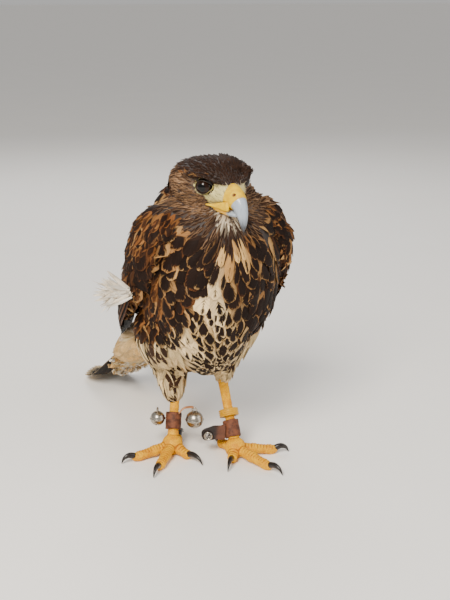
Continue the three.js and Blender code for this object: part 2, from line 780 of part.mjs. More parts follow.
function buildFlap(ankletRoom) {
  const flap = { x: -1.5, y: -23, z: 20, length: 21, height: 13, thickness: 2, turn: -22 };
  const eyelet = { aside: -4.5, up: -1, radius: 2.2, rim: 3.4 };
  const outline = new THREE.Shape();
  const corner = 3;
  const [halfLength, halfHeight] = [flap.length / 2, flap.height / 2];
  outline.moveTo(halfLength, -halfHeight);
  outline.lineTo(halfLength, halfHeight);
  outline.lineTo(-halfLength + corner, halfHeight - 1);
  outline.quadraticCurveTo(-halfLength, halfHeight - 1, -halfLength, halfHeight - 1 - corner);
  outline.lineTo(-halfLength, -halfHeight + corner);
  outline.quadraticCurveTo(-halfLength, -halfHeight, -halfLength + corner, -halfHeight);
  const hole = new THREE.Path();
  hole.absarc(eyelet.aside, eyelet.up, eyelet.radius + 0.8 + gap, 0, Math.PI * 2);
  outline.holes.push(hole);
  const place = (geometry) => {
    geometry.rotateX(Math.PI / 2);
    geometry.rotateZ(radians(flap.turn));
    return solidOf(geometry.translate(flap.x, flap.y, flap.z));
  };
  const options = { depth: flap.thickness, bevelEnabled: false, curveSegments: 6 };
  const leather = new THREE.ExtrudeGeometry(outline, options);
  leather.translate(0, 0, -flap.thickness / 2);
  node("anklet_left_flap", carved(place(leather), ankletRoom), "leather");
  const lip = flap.thickness / 2 + gap;
  const ring = [
    [eyelet.radius, -lip - 0.8],
    [eyelet.rim + 0.8, -lip],
    [eyelet.radius + 0.8, -lip],
    [eyelet.radius + 0.8, lip],
    [eyelet.rim + 0.8, lip],
    [eyelet.radius, lip + 0.8],
    [eyelet.radius, -lip - 0.8],
  ];
  const rimOutline = ring.map(([radius, height]) => new THREE.Vector2(radius, height));
  const grommet = new THREE.LatheGeometry(rimOutline, 16);
  grommet.rotateX(Math.PI / 2);
  grommet.translate(eyelet.aside, eyelet.up, 0);
  node("grommet", place(grommet), "metal");
}

const headRoom = buildHead();
buildBill(headRoom);
const wings = [buildWing("right", -1), buildWing("left", 1)];
buildTail();
buildLeg("right", -1, 39, wings[0].core);
buildLeg("left", 1, 55, wings[1].core);
buildTuft(wings[0].wing);
buildWear();

// The origin moves to the middle of the box on the floor
const box = new THREE.Box3().setFromObject(hawk, true);
hawk.position.set(-(box.min.x + box.max.x) / 2, -(box.min.y + box.max.y) / 2, -box.min.z);

export default hawk;
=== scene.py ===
import math
import random

import bmesh
import bpy
import numpy as np
from mathutils import Matrix, Vector, noise
from mathutils.bvhtree import BVHTree


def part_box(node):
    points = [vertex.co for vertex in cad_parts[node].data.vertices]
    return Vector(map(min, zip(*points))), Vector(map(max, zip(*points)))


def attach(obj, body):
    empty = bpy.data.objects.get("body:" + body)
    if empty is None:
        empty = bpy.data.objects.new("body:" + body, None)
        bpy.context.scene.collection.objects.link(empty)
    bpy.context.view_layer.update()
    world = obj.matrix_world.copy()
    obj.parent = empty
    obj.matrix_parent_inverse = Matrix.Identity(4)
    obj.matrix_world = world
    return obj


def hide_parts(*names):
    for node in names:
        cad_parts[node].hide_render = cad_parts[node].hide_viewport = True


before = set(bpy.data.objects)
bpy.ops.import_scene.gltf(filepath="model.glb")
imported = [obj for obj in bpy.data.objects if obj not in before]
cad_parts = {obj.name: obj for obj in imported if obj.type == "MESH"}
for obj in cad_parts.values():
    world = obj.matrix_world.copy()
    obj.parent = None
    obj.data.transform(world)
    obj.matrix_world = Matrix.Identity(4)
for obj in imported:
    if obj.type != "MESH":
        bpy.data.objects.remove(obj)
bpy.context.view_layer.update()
scene = bpy.context.scene
mm = 0.001

# The model is laid out in millimetres round the perching place, as the solids are
rightFootPlace = np.array([-33.0, -4.0, 0.0])
footLow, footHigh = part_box("foot_right")
frameMiddle = np.array((footLow + footHigh) / 2) / mm - rightFootPlace
frameMiddle[2] = 0.0


def toFrame(spots):
    return (np.asarray(spots, float) + frameMiddle) * mm


def fromFrame(spots):
    return np.asarray(spots, float) / mm - frameMiddle


def unit(vectors):
    vectors = np.asarray(vectors, float)
    return vectors / np.maximum(np.linalg.norm(vectors, axis=-1, keepdims=True), 1e-9)


def ramp(values, start, end):
    share = np.clip((np.asarray(values, float) - start) / (end - start), 0, 1)
    return share * share * (3 - 2 * share)


def blendTo(first, second, share):
    return first + (second - first) * share


def smooth(*stops):
    places = np.array([stop[0] for stop in stops], float)
    values = np.array([stop[1] for stop in stops], float)
    slopes = np.gradient(values, places)

    def value(place):
        place = np.clip(place, places[0], places[-1])
        i = np.clip(np.searchsorted(places, place, side="right") - 1, 0, len(places) - 2)
        span = places[i + 1] - places[i]
        t = (place - places[i]) / span
        rise = t * t * (3 - 2 * t)
        bend = slopes[i] * span * t * (1 - t) ** 2 - slopes[i + 1] * span * t * t * (1 - t)
        return values[i] + (values[i + 1] - values[i]) * rise + bend

    return value


# A smooth line through a few points, read by its share of the length
class Line:
    def __init__(self, *points):
        knots = np.array(points, float)
        knots = np.vstack([2 * knots[0] - knots[1], knots, 2 * knots[-1] - knots[-2]])
        parts = []
        for a, b, c, d in zip(knots, knots[1:], knots[2:], knots[3:]):
            before, span, after = (np.linalg.norm(y - x) ** 0.5 for x, y in ((a, b), (b, c), (c, d)))
            start = ((b - a) / before - (c - a) / (before + span) + (c - b) / span) * span
            end = ((c - b) / span - (d - b) / (span + after) + (d - c) / after) * span
            t = np.linspace(0, 1, 20, endpoint=False)[:, None]
            parts.append(
                (2 * t**3 - 3 * t**2 + 1) * b
                + (t**3 - 2 * t**2 + t) * start
                + (3 * t**2 - 2 * t**3) * c
                + (t**3 - t**2) * end
            )
        self.dense = np.vstack([*parts, knots[-2:-1]])
        steps = np.linalg.norm(np.diff(self.dense, axis=0), axis=1)
        self.shares = np.concatenate([[0], np.cumsum(steps)]) / steps.sum()

    def at(self, share):
        return np.stack([np.interp(share, self.shares, self.dense[:, i]) for i in range(3)], axis=-1)

    def along(self, share):
        share = np.asarray(share, float)
        return unit(self.at(np.minimum(share + 0.01, 1)) - self.at(np.maximum(share - 0.01, 0)))

    def axes(self, share, hint):
        along = self.along(share)
        toward = hint(np.asarray(share, float)) if callable(hint) else np.array(hint, float)
        over = unit(toward - along * np.sum(along * toward, axis=-1, keepdims=True))
        return over, np.cross(over, along)

    def part(self, start, end):
        return Line(*self.at(np.linspace(start, end, 7)))


# A sphere drawn out along a line, with its own half sizes across, over and under
def sweep(bm, line, hint, width, over, under=None, ends=(0.12, 0.12), around=24, rows=24, relief=None):
    made = bmesh.ops.create_uvsphere(bm, u_segments=around, v_segments=rows, radius=1)["verts"]
    units = np.array([vertex.co for vertex in made])
    share = np.clip((1 - units[:, 2]) / 2, 0, 1)
    reach = np.hypot(units[:, 0], units[:, 1])
    open_ = reach > 1e-5
    sine = np.where(open_, units[:, 0] / np.maximum(reach, 1e-5), 0)
    cosine = np.where(open_, -units[:, 1] / np.maximum(reach, 1e-5), 0)
    start = np.minimum(share / ends[0], 1) if ends[0] > 0 else np.ones_like(share)
    end = np.minimum((1 - share) / ends[1], 1) if ends[1] > 0 else np.ones_like(share)
    fall = np.sqrt(start * (2 - start)) * np.sqrt(end * (2 - end))
    half = np.where(cosine > 0, over(share), (under or over)(share)) * fall
    overAxis, across = line.axes(share, hint)
    side = width(share) * fall
    spots = line.at(share) + across * (sine * side)[:, None] + overAxis * (cosine * half)[:, None]
    if relief:
        out = across * sine[:, None] + overAxis * cosine[:, None]
        spots += out * (relief(share, np.arctan2(sine, cosine)) * open_)[:, None]
    for vertex, spot in zip(made, toFrame(spots)):
        vertex.co = spot
    return made


def newObject(name, mesh):
    made = bpy.data.objects.new(name, mesh)
    scene.collection.objects.link(made)
    return made


def meshOf(bm, name):
    bmesh.ops.recalc_face_normals(bm, faces=bm.faces)
    mesh = bpy.data.meshes.new(name)
    bm.to_mesh(mesh)
    bm.free()
    mesh.shade_smooth()
    return mesh


def finished(made, material, slot, *replaced):
    made.data.materials.clear()
    made.data.materials.append(material)
    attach(made, "root")
    if replaced:
        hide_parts(*replaced)
    return made


def withModifiers(made):
    evaluated = made.evaluated_get(bpy.context.evaluated_depsgraph_get())
    mesh = bpy.data.meshes.new_from_object(evaluated)
    made.modifiers.clear()
    old = made.data
    made.data = mesh
    bpy.data.meshes.remove(old)
    return made


# Colours, given as on a screen; kept deeper, for the view lifts and greys them
tone = {"power": 3.1, "gain": 1.12}


def tint(red, green, blue):
    return tuple(tone["gain"] * ((c / 255 + 0.055) / 1.055) ** tone["power"] for c in (red, green, blue))


plumage = {
    "crown": tint(58, 42, 33),
    "crownEdge": tint(88, 64, 48),
    "cheek": tint(86, 64, 48),
    "cheekStreak": tint(188, 156, 124),
    "brow": tint(158, 112, 76),
    "chin": tint(222, 210, 188),
    "throat": tint(84, 64, 52),
    "breast": tint(50, 34, 26),
    "fringe": tint(198, 164, 116),
    "rufous": tint(200, 154, 98),
    "buff": tint(220, 188, 134),
    "cream": tint(240, 218, 178),
    "chestnut": tint(146, 100, 60),
    "covert": tint(58, 39, 29),
    "flight": tint(36, 27, 23),
    "thigh": tint(228, 208, 166),
    "thighMark": tint(80, 58, 42),
    "undertail": tint(224, 190, 130),
    "white": tint(244, 240, 230),
    "tail": tint(44, 32, 26),
}
shades = {name: np.array(value) for name, value in plumage.items()}


# Shader helpers
def newMaterial(name):
    material = bpy.data.materials.new(name)
    material.use_nodes = True
    tree = material.node_tree
    return material, tree, tree.nodes["Principled BSDF"]


def addNode(tree, kind, inputs=None, **settings):
    made = tree.nodes.new(kind)
    for key, value in settings.items():
        setattr(made, key, value)
    for key, value in (inputs or {}).items():
        if isinstance(value, bpy.types.NodeSocket):
            tree.links.new(value, made.inputs[key])
        else:
            made.inputs[key].default_value = value
    return made


def maths(tree, operation, first, second=0.0, clamp=False):
    return addNode(tree, "ShaderNodeMath", {0: first, 1: second}, operation=operation, use_clamp=clamp).outputs[0]


def mixed(tree, share, first, second, blend="MIX"):
    made = addNode(tree, "ShaderNodeMix", {0: share, 6: first, 7: second}, data_type="RGBA", blend_type=blend)
    return made.outputs[2]


def ranged(tree, value, low, high, toLow=0.0, toHigh=1.0):
    inputs = {"Value": value, "From Min": low, "From Max": high, "To Min": toLow, "To Max": toHigh}
    return addNode(tree, "ShaderNodeMapRange", inputs, interpolation_type="SMOOTHSTEP").outputs[0]


def stretched(tree, vector, scale):
    return addNode(tree, "ShaderNodeMapping", {"Vector": vector, "Scale": scale}).outputs[0]


def noiseOf(tree, vector, scale, detail=3.0, roughness=0.55):
    inputs = {"Vector": vector, "Scale": scale, "Detail": detail, "Roughness": roughness}
    return addNode(tree, "ShaderNodeTexNoise", inputs).outputs[0]


def color4(value, alpha=1.0):
    return (*value, alpha)


def newGroup(name, inputs, outputs):
    group = bpy.data.node_groups.new(name, "ShaderNodeTree")
    for socket, kind, default in inputs:
        made = group.interface.new_socket(name=socket, in_out="INPUT", socket_type=kind)
        if default is not None:
            made.default_value = default
    for socket, kind in outputs:
        group.interface.new_socket(name=socket, in_out="OUTPUT", socket_type=kind)
    return group, group.nodes.new("NodeGroupInput"), group.nodes.new("NodeGroupOutput")


# The pattern of one vane: a centre, a fringe, bars, barbs with painted shade in the grooves between them, and the shaft
def makeVaneGroup():
    group, given, made = newGroup(
        "vanePattern",
        [
            ("Barbs", "NodeSocketFloat", 60.0),
            ("Shaft", "NodeSocketFloat", 0.4),
            ("Bars", "NodeSocketFloat", 9.0),
        ],
        [("Color", "NodeSocketColor"), ("Roughness", "NodeSocketFloat"), ("Height", "NodeSocketFloat")],
    )
    uv = addNode(group, "ShaderNodeUVMap", uv_map="Vane").outputs[0]
    parts = addNode(group, "ShaderNodeSeparateXYZ", {0: uv})
    aside = maths(group, "ABSOLUTE", maths(group, "SUBTRACT", maths(group, "MULTIPLY", parts.outputs[0], 2), 1))
    main = addNode(group, "ShaderNodeAttribute", attribute_name="mainColor")
    edge = addNode(group, "ShaderNodeAttribute", attribute_name="edgeColor")
    mark = addNode(group, "ShaderNodeAttribute", attribute_name="marks")
    marks = addNode(group, "ShaderNodeSeparateColor", {0: mark.outputs["Color"]})
    place = addNode(group, "ShaderNodeTexCoord").outputs["Object"]
    wobble = maths(group, "SUBTRACT", noiseOf(group, place, 420.0), 0.5)
    fine = maths(group, "SUBTRACT", noiseOf(group, place, 1500.0), 0.5)
    both = maths(group, "ADD", maths(group, "MULTIPLY", wobble, 0.45), maths(group, "MULTIPLY", fine, 0.3))
    middle = maths(group, "MAXIMUM", maths(group, "SUBTRACT", 0.78, parts.outputs[1]), 0)
    bow = maths(group, "MULTIPLY", maths(group, "MULTIPLY", middle, middle), 5)
    spread = maths(group, "ADD", aside, maths(group, "MULTIPLY", bow, marks.outputs[2]))
    lean = maths(group, "MULTIPLY", maths(group, "SUBTRACT", parts.outputs[0], 0.5), 1.1)
    lean = maths(group, "MULTIPLY", lean, maths(group, "SUBTRACT", main.outputs["Alpha"], 0.5))
    slant = maths(group, "ADD", parts.outputs[1], maths(group, "MULTIPLY", aside, -0.35))
    strand = addNode(group, "ShaderNodeCombineXYZ", {0: maths(group, "MULTIPLY", slant, given.outputs["Barbs"])})
    strand = addNode(group, "ShaderNodeVectorMath", {0: strand.outputs[0], 1: stretched(group, place, (90, 90, 90))})
    streaks = noiseOf(group, strand.outputs[0], 1.0, 2.0)
    rough = maths(group, "MULTIPLY", maths(group, "SUBTRACT", streaks, 0.5), 0.9)
    both = maths(group, "ADD", both, rough)
    spread = maths(group, "ADD", maths(group, "ADD", spread, lean), both)
    low = maths(group, "SUBTRACT", marks.outputs[0], 0.2)
    sideEdge = addNode(
        group, "ShaderNodeMapRange",
        {"Value": spread, "From Min": low, "From Max": maths(group, "ADD", marks.outputs[0], 0.12)},
        interpolation_type="SMOOTHSTEP",
    ).outputs[0]
    along = maths(group, "ADD", parts.outputs[1], maths(group, "MULTIPLY", both, 0.4))
    tipEdge = addNode(
        group, "ShaderNodeMapRange",
        {
            "Value": along,
            "From Min": maths(group, "SUBTRACT", marks.outputs[1], 0.03),
            "From Max": maths(group, "ADD", marks.outputs[1], 0.03),
        },
        interpolation_type="SMOOTHSTEP",
    ).outputs[0]
    share = maths(group, "MAXIMUM", sideEdge, tipEdge)
    color = mixed(group, share, main.outputs["Color"], edge.outputs["Color"])
    bars = maths(group, "SINE", maths(group, "MULTIPLY", along, maths(group, "MULTIPLY", given.outputs["Bars"], 6.283)))
    barred = maths(group, "MULTIPLY", ranged(group, bars, 0.1, 0.7), mark.outputs["Alpha"])
    color = mixed(group, maths(group, "MULTIPLY", barred, 0.6), color, (0.012, 0.009, 0.007, 1))
    comb = addNode(
        group, "ShaderNodeTexWave",
        {"Vector": strand.outputs[0], "Scale": 0.32, "Distortion": 1.5, "Detail": 1.0},
        bands_direction="X",
    ).outputs[1]
    shade = maths(group, "ADD", maths(group, "MULTIPLY", streaks, 0.7), maths(group, "MULTIPLY", comb, 0.25))
    # Painted shade: the colour is darkened where the barb relief is low, in the grooves between the barbs
    dark = mixed(group, 1.0, color, (0.55, 0.52, 0.5, 1), "MULTIPLY")
    color = mixed(group, ranged(group, shade, 0.3, 0.72), dark, color)
    shaft = maths(group, "MULTIPLY", ranged(group, aside, 0.0, 0.09, 1.0, 0.0), given.outputs["Shaft"])
    tone = mixed(group, 1.0, main.outputs["Color"], (0.35, 0.3, 0.28, 1), "MULTIPLY")
    color = mixed(group, shaft, color, tone)
    tone = ranged(group, main.outputs["Alpha"], 0.0, 1.0, 0.78, 1.22)
    tone = addNode(group, "ShaderNodeCombineColor", {0: tone, 1: tone, 2: tone}).outputs[0]
    color = mixed(group, 1.0, color, tone, "MULTIPLY")
    group.links.new(color, made.inputs["Color"])
    group.links.new(ranged(group, shade, 0.2, 0.9, 0.72, 0.5), made.inputs["Roughness"])
    group.links.new(maths(group, "ADD", shade, maths(group, "MULTIPLY", shaft, 0.6)), made.inputs["Height"])
    return group


vaneGroup = makeVaneGroup()


def featherMaterial(name, barbs, shaft, bump, sheen=0.0, bars=9.0):
    material, tree, shader = newMaterial(name)
    pattern = addNode(tree, "ShaderNodeGroup", node_tree=vaneGroup)
    pattern.inputs["Barbs"].default_value = barbs
    pattern.inputs["Shaft"].default_value = shaft
    pattern.inputs["Bars"].default_value = bars
    relief = addNode(tree, "ShaderNodeBump", {"Strength": bump, "Distance": 0.0004, "Height": pattern.outputs[2]})
    tree.links.new(pattern.outputs[0], shader.inputs["Base Color"])
    tree.links.new(pattern.outputs[1], shader.inputs["Roughness"])
    tree.links.new(relief.outputs[0], shader.inputs["Normal"])
    shader.inputs["Specular IOR Level"].default_value = 0.12
    shader.inputs["Sheen Weight"].default_value = sheen
    shader.inputs["Sheen Roughness"].default_value = 0.5
    return material


contourLook = featherMaterial("contourFeather", 26.0, 0.3, 0.5)
headLook = featherMaterial("headFeather", 10.0, 0.1, 0.4)
flightLook = featherMaterial("flightFeather", 120.0, 0.6, 0.45, 0.03, 10.0)
downLook = featherMaterial("downPlume", 14.0, 0.0, 0.3, 0.25)

# Head axes: turned to the bird's left and tipped down
headPlace = {"middle": (-9.0, -43.0, 251.0), "turn": 11, "pitch": 12}
headTurn = Matrix.Rotation(math.radians(headPlace["turn"]), 3, "Z")
headTurn = np.array(headTurn @ Matrix.Rotation(math.radians(headPlace["pitch"]), 3, "X"))
headSide, headAhead, headUp = headTurn[:, 0], -headTurn[:, 1], headTurn[:, 2]
headMiddle = np.array(headPlace["middle"])


def headSpot(aside, ahead, up):
    return headMiddle + headSide * aside + headAhead * ahead + headUp * up


# Places as seen from the head: aside, ahead and up
def inHead(spots):
    away = spots - headMiddle
    return away @ headSide, away @ headAhead, away @ headUp


billRoot = headSpot(0, 33, -7)
eyeSize = {"radius": 7.0, "aside": 16.5, "ahead": 14.8, "up": -0.7, "facing": 36, "tilt": 14}


def eyeSpot(side):
    return headSpot(side * eyeSize["aside"], eyeSize["ahead"], eyeSize["up"])


def eyeFacing(side):
    turn = math.radians(eyeSize["facing"])
    return unit(headSide * side * math.cos(turn) + headAhead * math.sin(turn) + headUp * 0.05)


# The eye's own axes: toward its front corner, up and out
def eyeAxes(side):
    out = eyeFacing(side)
    front = unit(np.cross(headUp, out)) * -side
    upward = np.cross(front, out) * side
    tilt = math.radians(eyeSize["tilt"])
    return front * math.cos(tilt) + upward * math.sin(tilt), upward * math.cos(tilt) - front * math.sin(tilt), out


def inEye(spots, side):
    away = spots - eyeSpot(side)
    return [away @ axis for axis in eyeAxes(side)]


lid = {"halfWide": 5.9, "halfHigh": 5.0, "corner": 1.6, "band": 1.6, "rim": 0.45, "sunk": 1.0, "rings": 9}


# How far out from the eye's middle, 1 at the outer edge of the lids
def lidShare(spots, side):
    x, y, out = inEye(spots, side)
    angle = np.arctan2(y, x)
    corner = np.maximum(np.cos(angle), 0) ** 6 * lid["corner"]
    wide, high = lid["halfWide"] + corner + lid["band"], lid["halfHigh"] + lid["band"]
    return np.where(out > -1, np.hypot(x / wide, y / high), 9.0)


# How far a feather stands from the face: the throat soon gives way to the breast
def faceReach(spots):
    front = ramp(spots[:, 1], -20, -48)
    low = 227 + 9 * ramp(np.abs(spots[:, 0] - 4), 24, 9)
    return np.linalg.norm(spots - billRoot, axis=1) + 27 * ramp(spots[:, 2] - low, 0, -20) * front


# Wings: the same lines as in the solids
def wingFrame(side):
    return {
        "line": Line(
            (side * 36, -32, 229), (side * 50, -20, 200), (side * 50, 14, 160), (side * 39, 58, 128),
            (side * 30, 101, 101), (side * 24, 146, 72), (side * 20, 191, 43),
        ),
        "hint": lambda s: np.stack([np.full_like(s, side), 0.9 * s - 0.1, 0.2 + 1.1 * s], axis=-1),
        "width": smooth((0, 14), (0.12, 29), (0.3, 38), (0.5, 31), (0.7, 22), (1, 9)),
        "over": smooth((0, 20), (0.15, 22), (0.3, 20), (0.45, 14), (0.6, 8), (0.8, 4), (1, 1.5)),
    }


wings = {"right": (wingFrame(-1), -1), "left": (wingFrame(1), 1)}
tailLine = Line((0, 58, 122), (-10, 98, 87), (-24, 145, 46), (-35, 184, 15), (-42, 216, 7.2))
tailHint = (0, 0.6, 0.8)


def wingPlace(frameOf, side, share, turn, lift):
    over, across = frameOf["line"].axes(share, frameOf["hint"])
    angle = np.radians(turn * side)[..., None]
    width, depth = frameOf["width"](share)[..., None], frameOf["over"](share)[..., None]
    normal = unit(over * np.cos(angle) / depth + across * np.sin(angle) / width)
    spot = frameOf["line"].at(share) + over * depth * np.cos(angle) + across * width * np.sin(angle)
    return spot + normal * np.asarray(lift)[..., None], normal, across * side


# The skin: every solid of flesh and the wing cores, fused and sunk by the coat's depth
skinShape = {
    "voxel": 0.0017,
    "smoothing": 7,
    "faceDepth": 0.3,
    "crownDepth": 1.3,
    "bodyDepth": 3.4,
    "coreEnd": 0.6,
}
fleshNodes = ["head", "neck", "torso", "thigh_right", "thigh_left", "undertail", "rump"]


def makeSkin():
    bm = bmesh.new()
    for name in fleshNodes:
        bm.from_mesh(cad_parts[name].data)
    bmesh.ops.remove_doubles(bm, verts=bm.verts, dist=1e-6)
    end = skinShape["coreEnd"]
    for frameOf, _ in wings.values():
        sweep(
            bm, frameOf["line"].part(0, end), lambda s, f=frameOf: f["hint"](s * end),
            lambda s, f=frameOf: f["width"](s * end) * (1 - 0.25 * s),
            lambda s, f=frameOf: f["over"](s * end) * (1 - 0.3 * s),
            lambda s: 2 + 0 * s, ends=(0.16, 0.3), around=32, rows=32,
        )
    sweep(
        bm, tailLine.part(0, 0.2), tailHint, smooth((0, 13), (1, 13)), lambda s: 2 + 0 * s,
        lambda s: 7 + 0 * s, ends=(0.1, 0.3), around=20, rows=12,
    )
    skin = newObject("skin", meshOf(bm, "skin"))
    remesh = skin.modifiers.new("fuse", "REMESH")
    remesh.mode = "VOXEL"
    remesh.voxel_size = skinShape["voxel"]
    even = skin.modifiers.new("even", "SMOOTH")
    even.iterations = skinShape["smoothing"]
    withModifiers(skin)
    mesh = skin.data
    spots = np.zeros(len(mesh.vertices) * 3)
    mesh.vertices.foreach_get("co", spots)
    normals = np.zeros_like(spots)
    mesh.vertex_normals.foreach_get("vector", normals)
    spots, normals = fromFrame(spots.reshape(-1, 3)), normals.reshape(-1, 3)
    fromBill = np.linalg.norm(spots - billRoot, axis=1)
    depth = blendTo(skinShape["faceDepth"], skinShape["crownDepth"], ramp(fromBill, 14, 34))
    depth = blendTo(depth, skinShape["bodyDepth"], ramp(fromBill, 45, 85))
    depth = blendTo(depth, 0.3, ramp(inHead(spots)[2], 1, 6))
    slim = ramp(spots[:, 0], 12, 30) * ramp(spots[:, 2], 132, 108) * ramp(spots[:, 2], 40, 60)
    slim = np.maximum(slim, ramp(spots[:, 0], 38, 50) * ramp(spots[:, 2], 196, 208))
    spots -= normals * (depth + 5.0 * slim)[:, None]
    for side in (-1, 1):
        share = lidShare(spots, side)
        out = inEye(spots, side)[2]
        ball = np.sqrt(np.maximum(eyeSize["radius"] ** 2 - np.minimum(share * 6.6, 6.2) ** 2, 0))
        excess = np.maximum(out - ball + lid["sunk"], 0) * ramp(share, 1.35, 0.95) * (share < 2)
        spots -= eyeAxes(side)[2] * excess[:, None]
    mesh.vertices.foreach_set("co", toFrame(spots).ravel())
    mesh.update()
    return skin


skin = makeSkin()
skinSpots = np.zeros(len(skin.data.vertices) * 3)
skin.data.vertices.foreach_get("co", skinSpots)
skinSpots = fromFrame(skinSpots.reshape(-1, 3))
skin.data.calc_loop_triangles()
skinTriangles = np.zeros(len(skin.data.loop_triangles) * 3, int)
skin.data.loop_triangles.foreach_get("vertices", skinTriangles)
skinTriangles = skinTriangles.reshape(-1, 3)
skinTree = BVHTree.FromPolygons(skinSpots.tolist(), skinTriangles.tolist())
corners = skinSpots[skinTriangles]
faceCross = np.cross(corners[:, 1] - corners[:, 0], corners[:, 2] - corners[:, 0])
faceArea = np.linalg.norm(faceCross, axis=1) / 2
faceNormal = unit(faceCross)
faceMiddle = corners.mean(axis=1)
print("skin", len(skinTriangles))


# Which way the feathers lie at each place
bellyEnd = np.array([-4.0, -46.0, 62.0])
backEnd = np.array([-10.0, 118.0, 78.0])


def lieOf(spots, normals):
    away = unit(spots - billRoot)
    down = np.array([0.0, 0.04, -1.0])
    toBelly = unit(bellyEnd - spots)
    toBack = unit(backEnd - spots)
    belly = ramp(spots[:, 2], 195, 120)[:, None]
    back = ramp(normals[:, 1], -0.1, 0.55)[:, None]
    lie = blendTo(blendTo(down, toBelly, belly), toBack, back)
    fromBill = np.linalg.norm(spots - billRoot, axis=1)
    near = ramp(fromBill, 75, 38)[:, None]
    return unit(blendTo(lie, away, near))


# Points spread evenly over part of the skin
def scatter(mask, spacing, seed):
    draw = np.random.default_rng(seed)
    faces = np.nonzero(mask)[0]
    gapAt = spacing(faceMiddle[faces])
    weight = faceArea[faces] / gapAt**2
    count = int(weight.sum() * 3.2)
    picked = faces[draw.choice(len(faces), count, p=weight / weight.sum())]
    first, second = draw.random(count), draw.random(count)
    flip = first + second > 1
    first[flip], second[flip] = 1 - first[flip], 1 - second[flip]
    corner = corners[picked]
    spots = corner[:, 0] + (corner[:, 1] - corner[:, 0]) * first[:, None]
    spots += (corner[:, 2] - corner[:, 0]) * second[:, None]
    room = spacing(spots)
    cell = float(room.max())
    grid, kept = {}, []
    keys = np.floor(spots / cell).astype(int)
    offsets = [(i, j, k) for i in (-1, 0, 1) for j in (-1, 0, 1) for k in (-1, 0, 1)]
    placed = spots.tolist()
    for i, (x, y, z) in enumerate(keys.tolist()):
        here = placed[i]
        reach = room[i] ** 2
        free = True
        for dx, dy, dz in offsets:
            for other in grid.get((x + dx, y + dy, z + dz), ()):
                if (here[0] - other[0]) ** 2 + (here[1] - other[1]) ** 2 + (here[2] - other[2]) ** 2 < reach:
                    free = False
                    break
            if not free:
                break
        if free:
            grid.setdefault((x, y, z), []).append(here)
            kept.append(i)
    return spots[kept], faceNormal[picked[kept]]


# Feathers combed over the skin from their roots, rising from it toward the tip
def combed(roots, normals, lies, lengths, rows, rootLift, tipLift, cling, draw, stray=0.12):
    count = len(roots)
    spines = np.zeros((count, len(rows), 3))
    overs = np.zeros((count, len(rows), 3))
    aside = np.cross(normals, lies)
    turn = draw.normal(0, stray, count)[:, None]
    lies = unit(lies * np.cos(turn) + aside * np.sin(turn))
    tipLift = np.broadcast_to(tipLift, count) * draw.uniform(0.8, 1.25, count)
    cling = np.broadcast_to(cling, count)
    for i in range(count):
        spot, normal, lie = Vector(roots[i]), Vector(normals[i]), Vector(lies[i])
        before = 0.0
        for k, share in enumerate(rows):
            lie = (lie - normal * lie.dot(normal)).normalized()
            free = spot + lie * (lengths[i] * (share - before))
            near, nearNormal, _, _ = skinTree.find_nearest(free)
            spot = free.lerp(near, cling[i])
            normal = normal.lerp(nearNormal, 0.7 * cling[i]).normalized() if k else normal
            before = share
            lift = rootLift + (tipLift[i] - rootLift) * share**0.8
            spines[i, k] = spot + normal * lift
            overs[i, k] = normal
    return spines, overs


outlines = {
    "round": smooth((0, 0.3), (0.2, 0.72), (0.5, 1), (0.78, 0.95), (0.92, 0.68), (1, 0.2)),
    "drop": smooth((0, 0.3), (0.25, 0.7), (0.55, 1), (0.75, 0.96), (0.9, 0.6), (1, 0.1)),
    "lance": smooth((0, 0.3), (0.2, 0.8), (0.45, 1), (0.7, 0.8), (0.88, 0.45), (1, 0.08)),
    "long": smooth((0, 0.35), (0.15, 0.75), (0.5, 1), (0.8, 0.92), (0.93, 0.62), (1, 0.22)),
    "wisp": smooth((0, 0.6), (0.4, 1), (0.8, 0.6), (1, 0.1)),
}
rowSets = {
    "small": np.array([0, 0.3, 0.62, 0.86, 1.0]),
    "body": np.array([0, 0.16, 0.36, 0.58, 0.77, 0.91, 1.0]),
    "breast": np.array([0, 0.2, 0.4, 0.55, 0.68, 0.79, 0.88, 0.95, 1.0]),
    "flight": np.concatenate([np.linspace(0, 0.86, 11), [0.92, 0.965, 1.0]]),
}
bakePatch = 0.003
takenCells = {}


# A place of its own for each feather on the unwrapped skin
def bakePlaces(name, spots, axisLine):
    cells = takenCells.setdefault(name, set())
    share = np.argmin(np.linalg.norm(spots[:, None] - axisLine.dense[None, ::4], axis=2), axis=1)
    middle = axisLine.dense[::4][share]
    along = axisLine.shares[::4][share]
    over, across = axisLine.axes(along, (0.1, 1, 0.05))
    away = spots - middle
    angle = np.arctan2(np.sum(away * across, axis=1), np.sum(away * over, axis=1))
    reach = spots - spots.min(axis=0)
    extra = reach[:, 2] / max(reach[:, 2].max(), 1e-6)
    u = 0.02 + 0.95 * (angle / (2 * math.pi) + 0.5)
    v = 0.02 + 0.95 * (0.5 * along + 0.5 * (1 - extra))
    places = []
    side = int(1 / (bakePatch * 1.15))
    for a, b in zip((u * side).astype(int).tolist(), (v * side).astype(int).tolist()):
        ring = 0
        while (a, b) in cells and ring < 60:
            ring += 1
            a = (a + (ring if ring % 2 else -ring)) % side
            b = (b + (ring % 3) - 1) % side
        cells.add((a, b))
        places.append(((a + 0.5) / side, (b + 0.5) / side))
    return np.array(places)


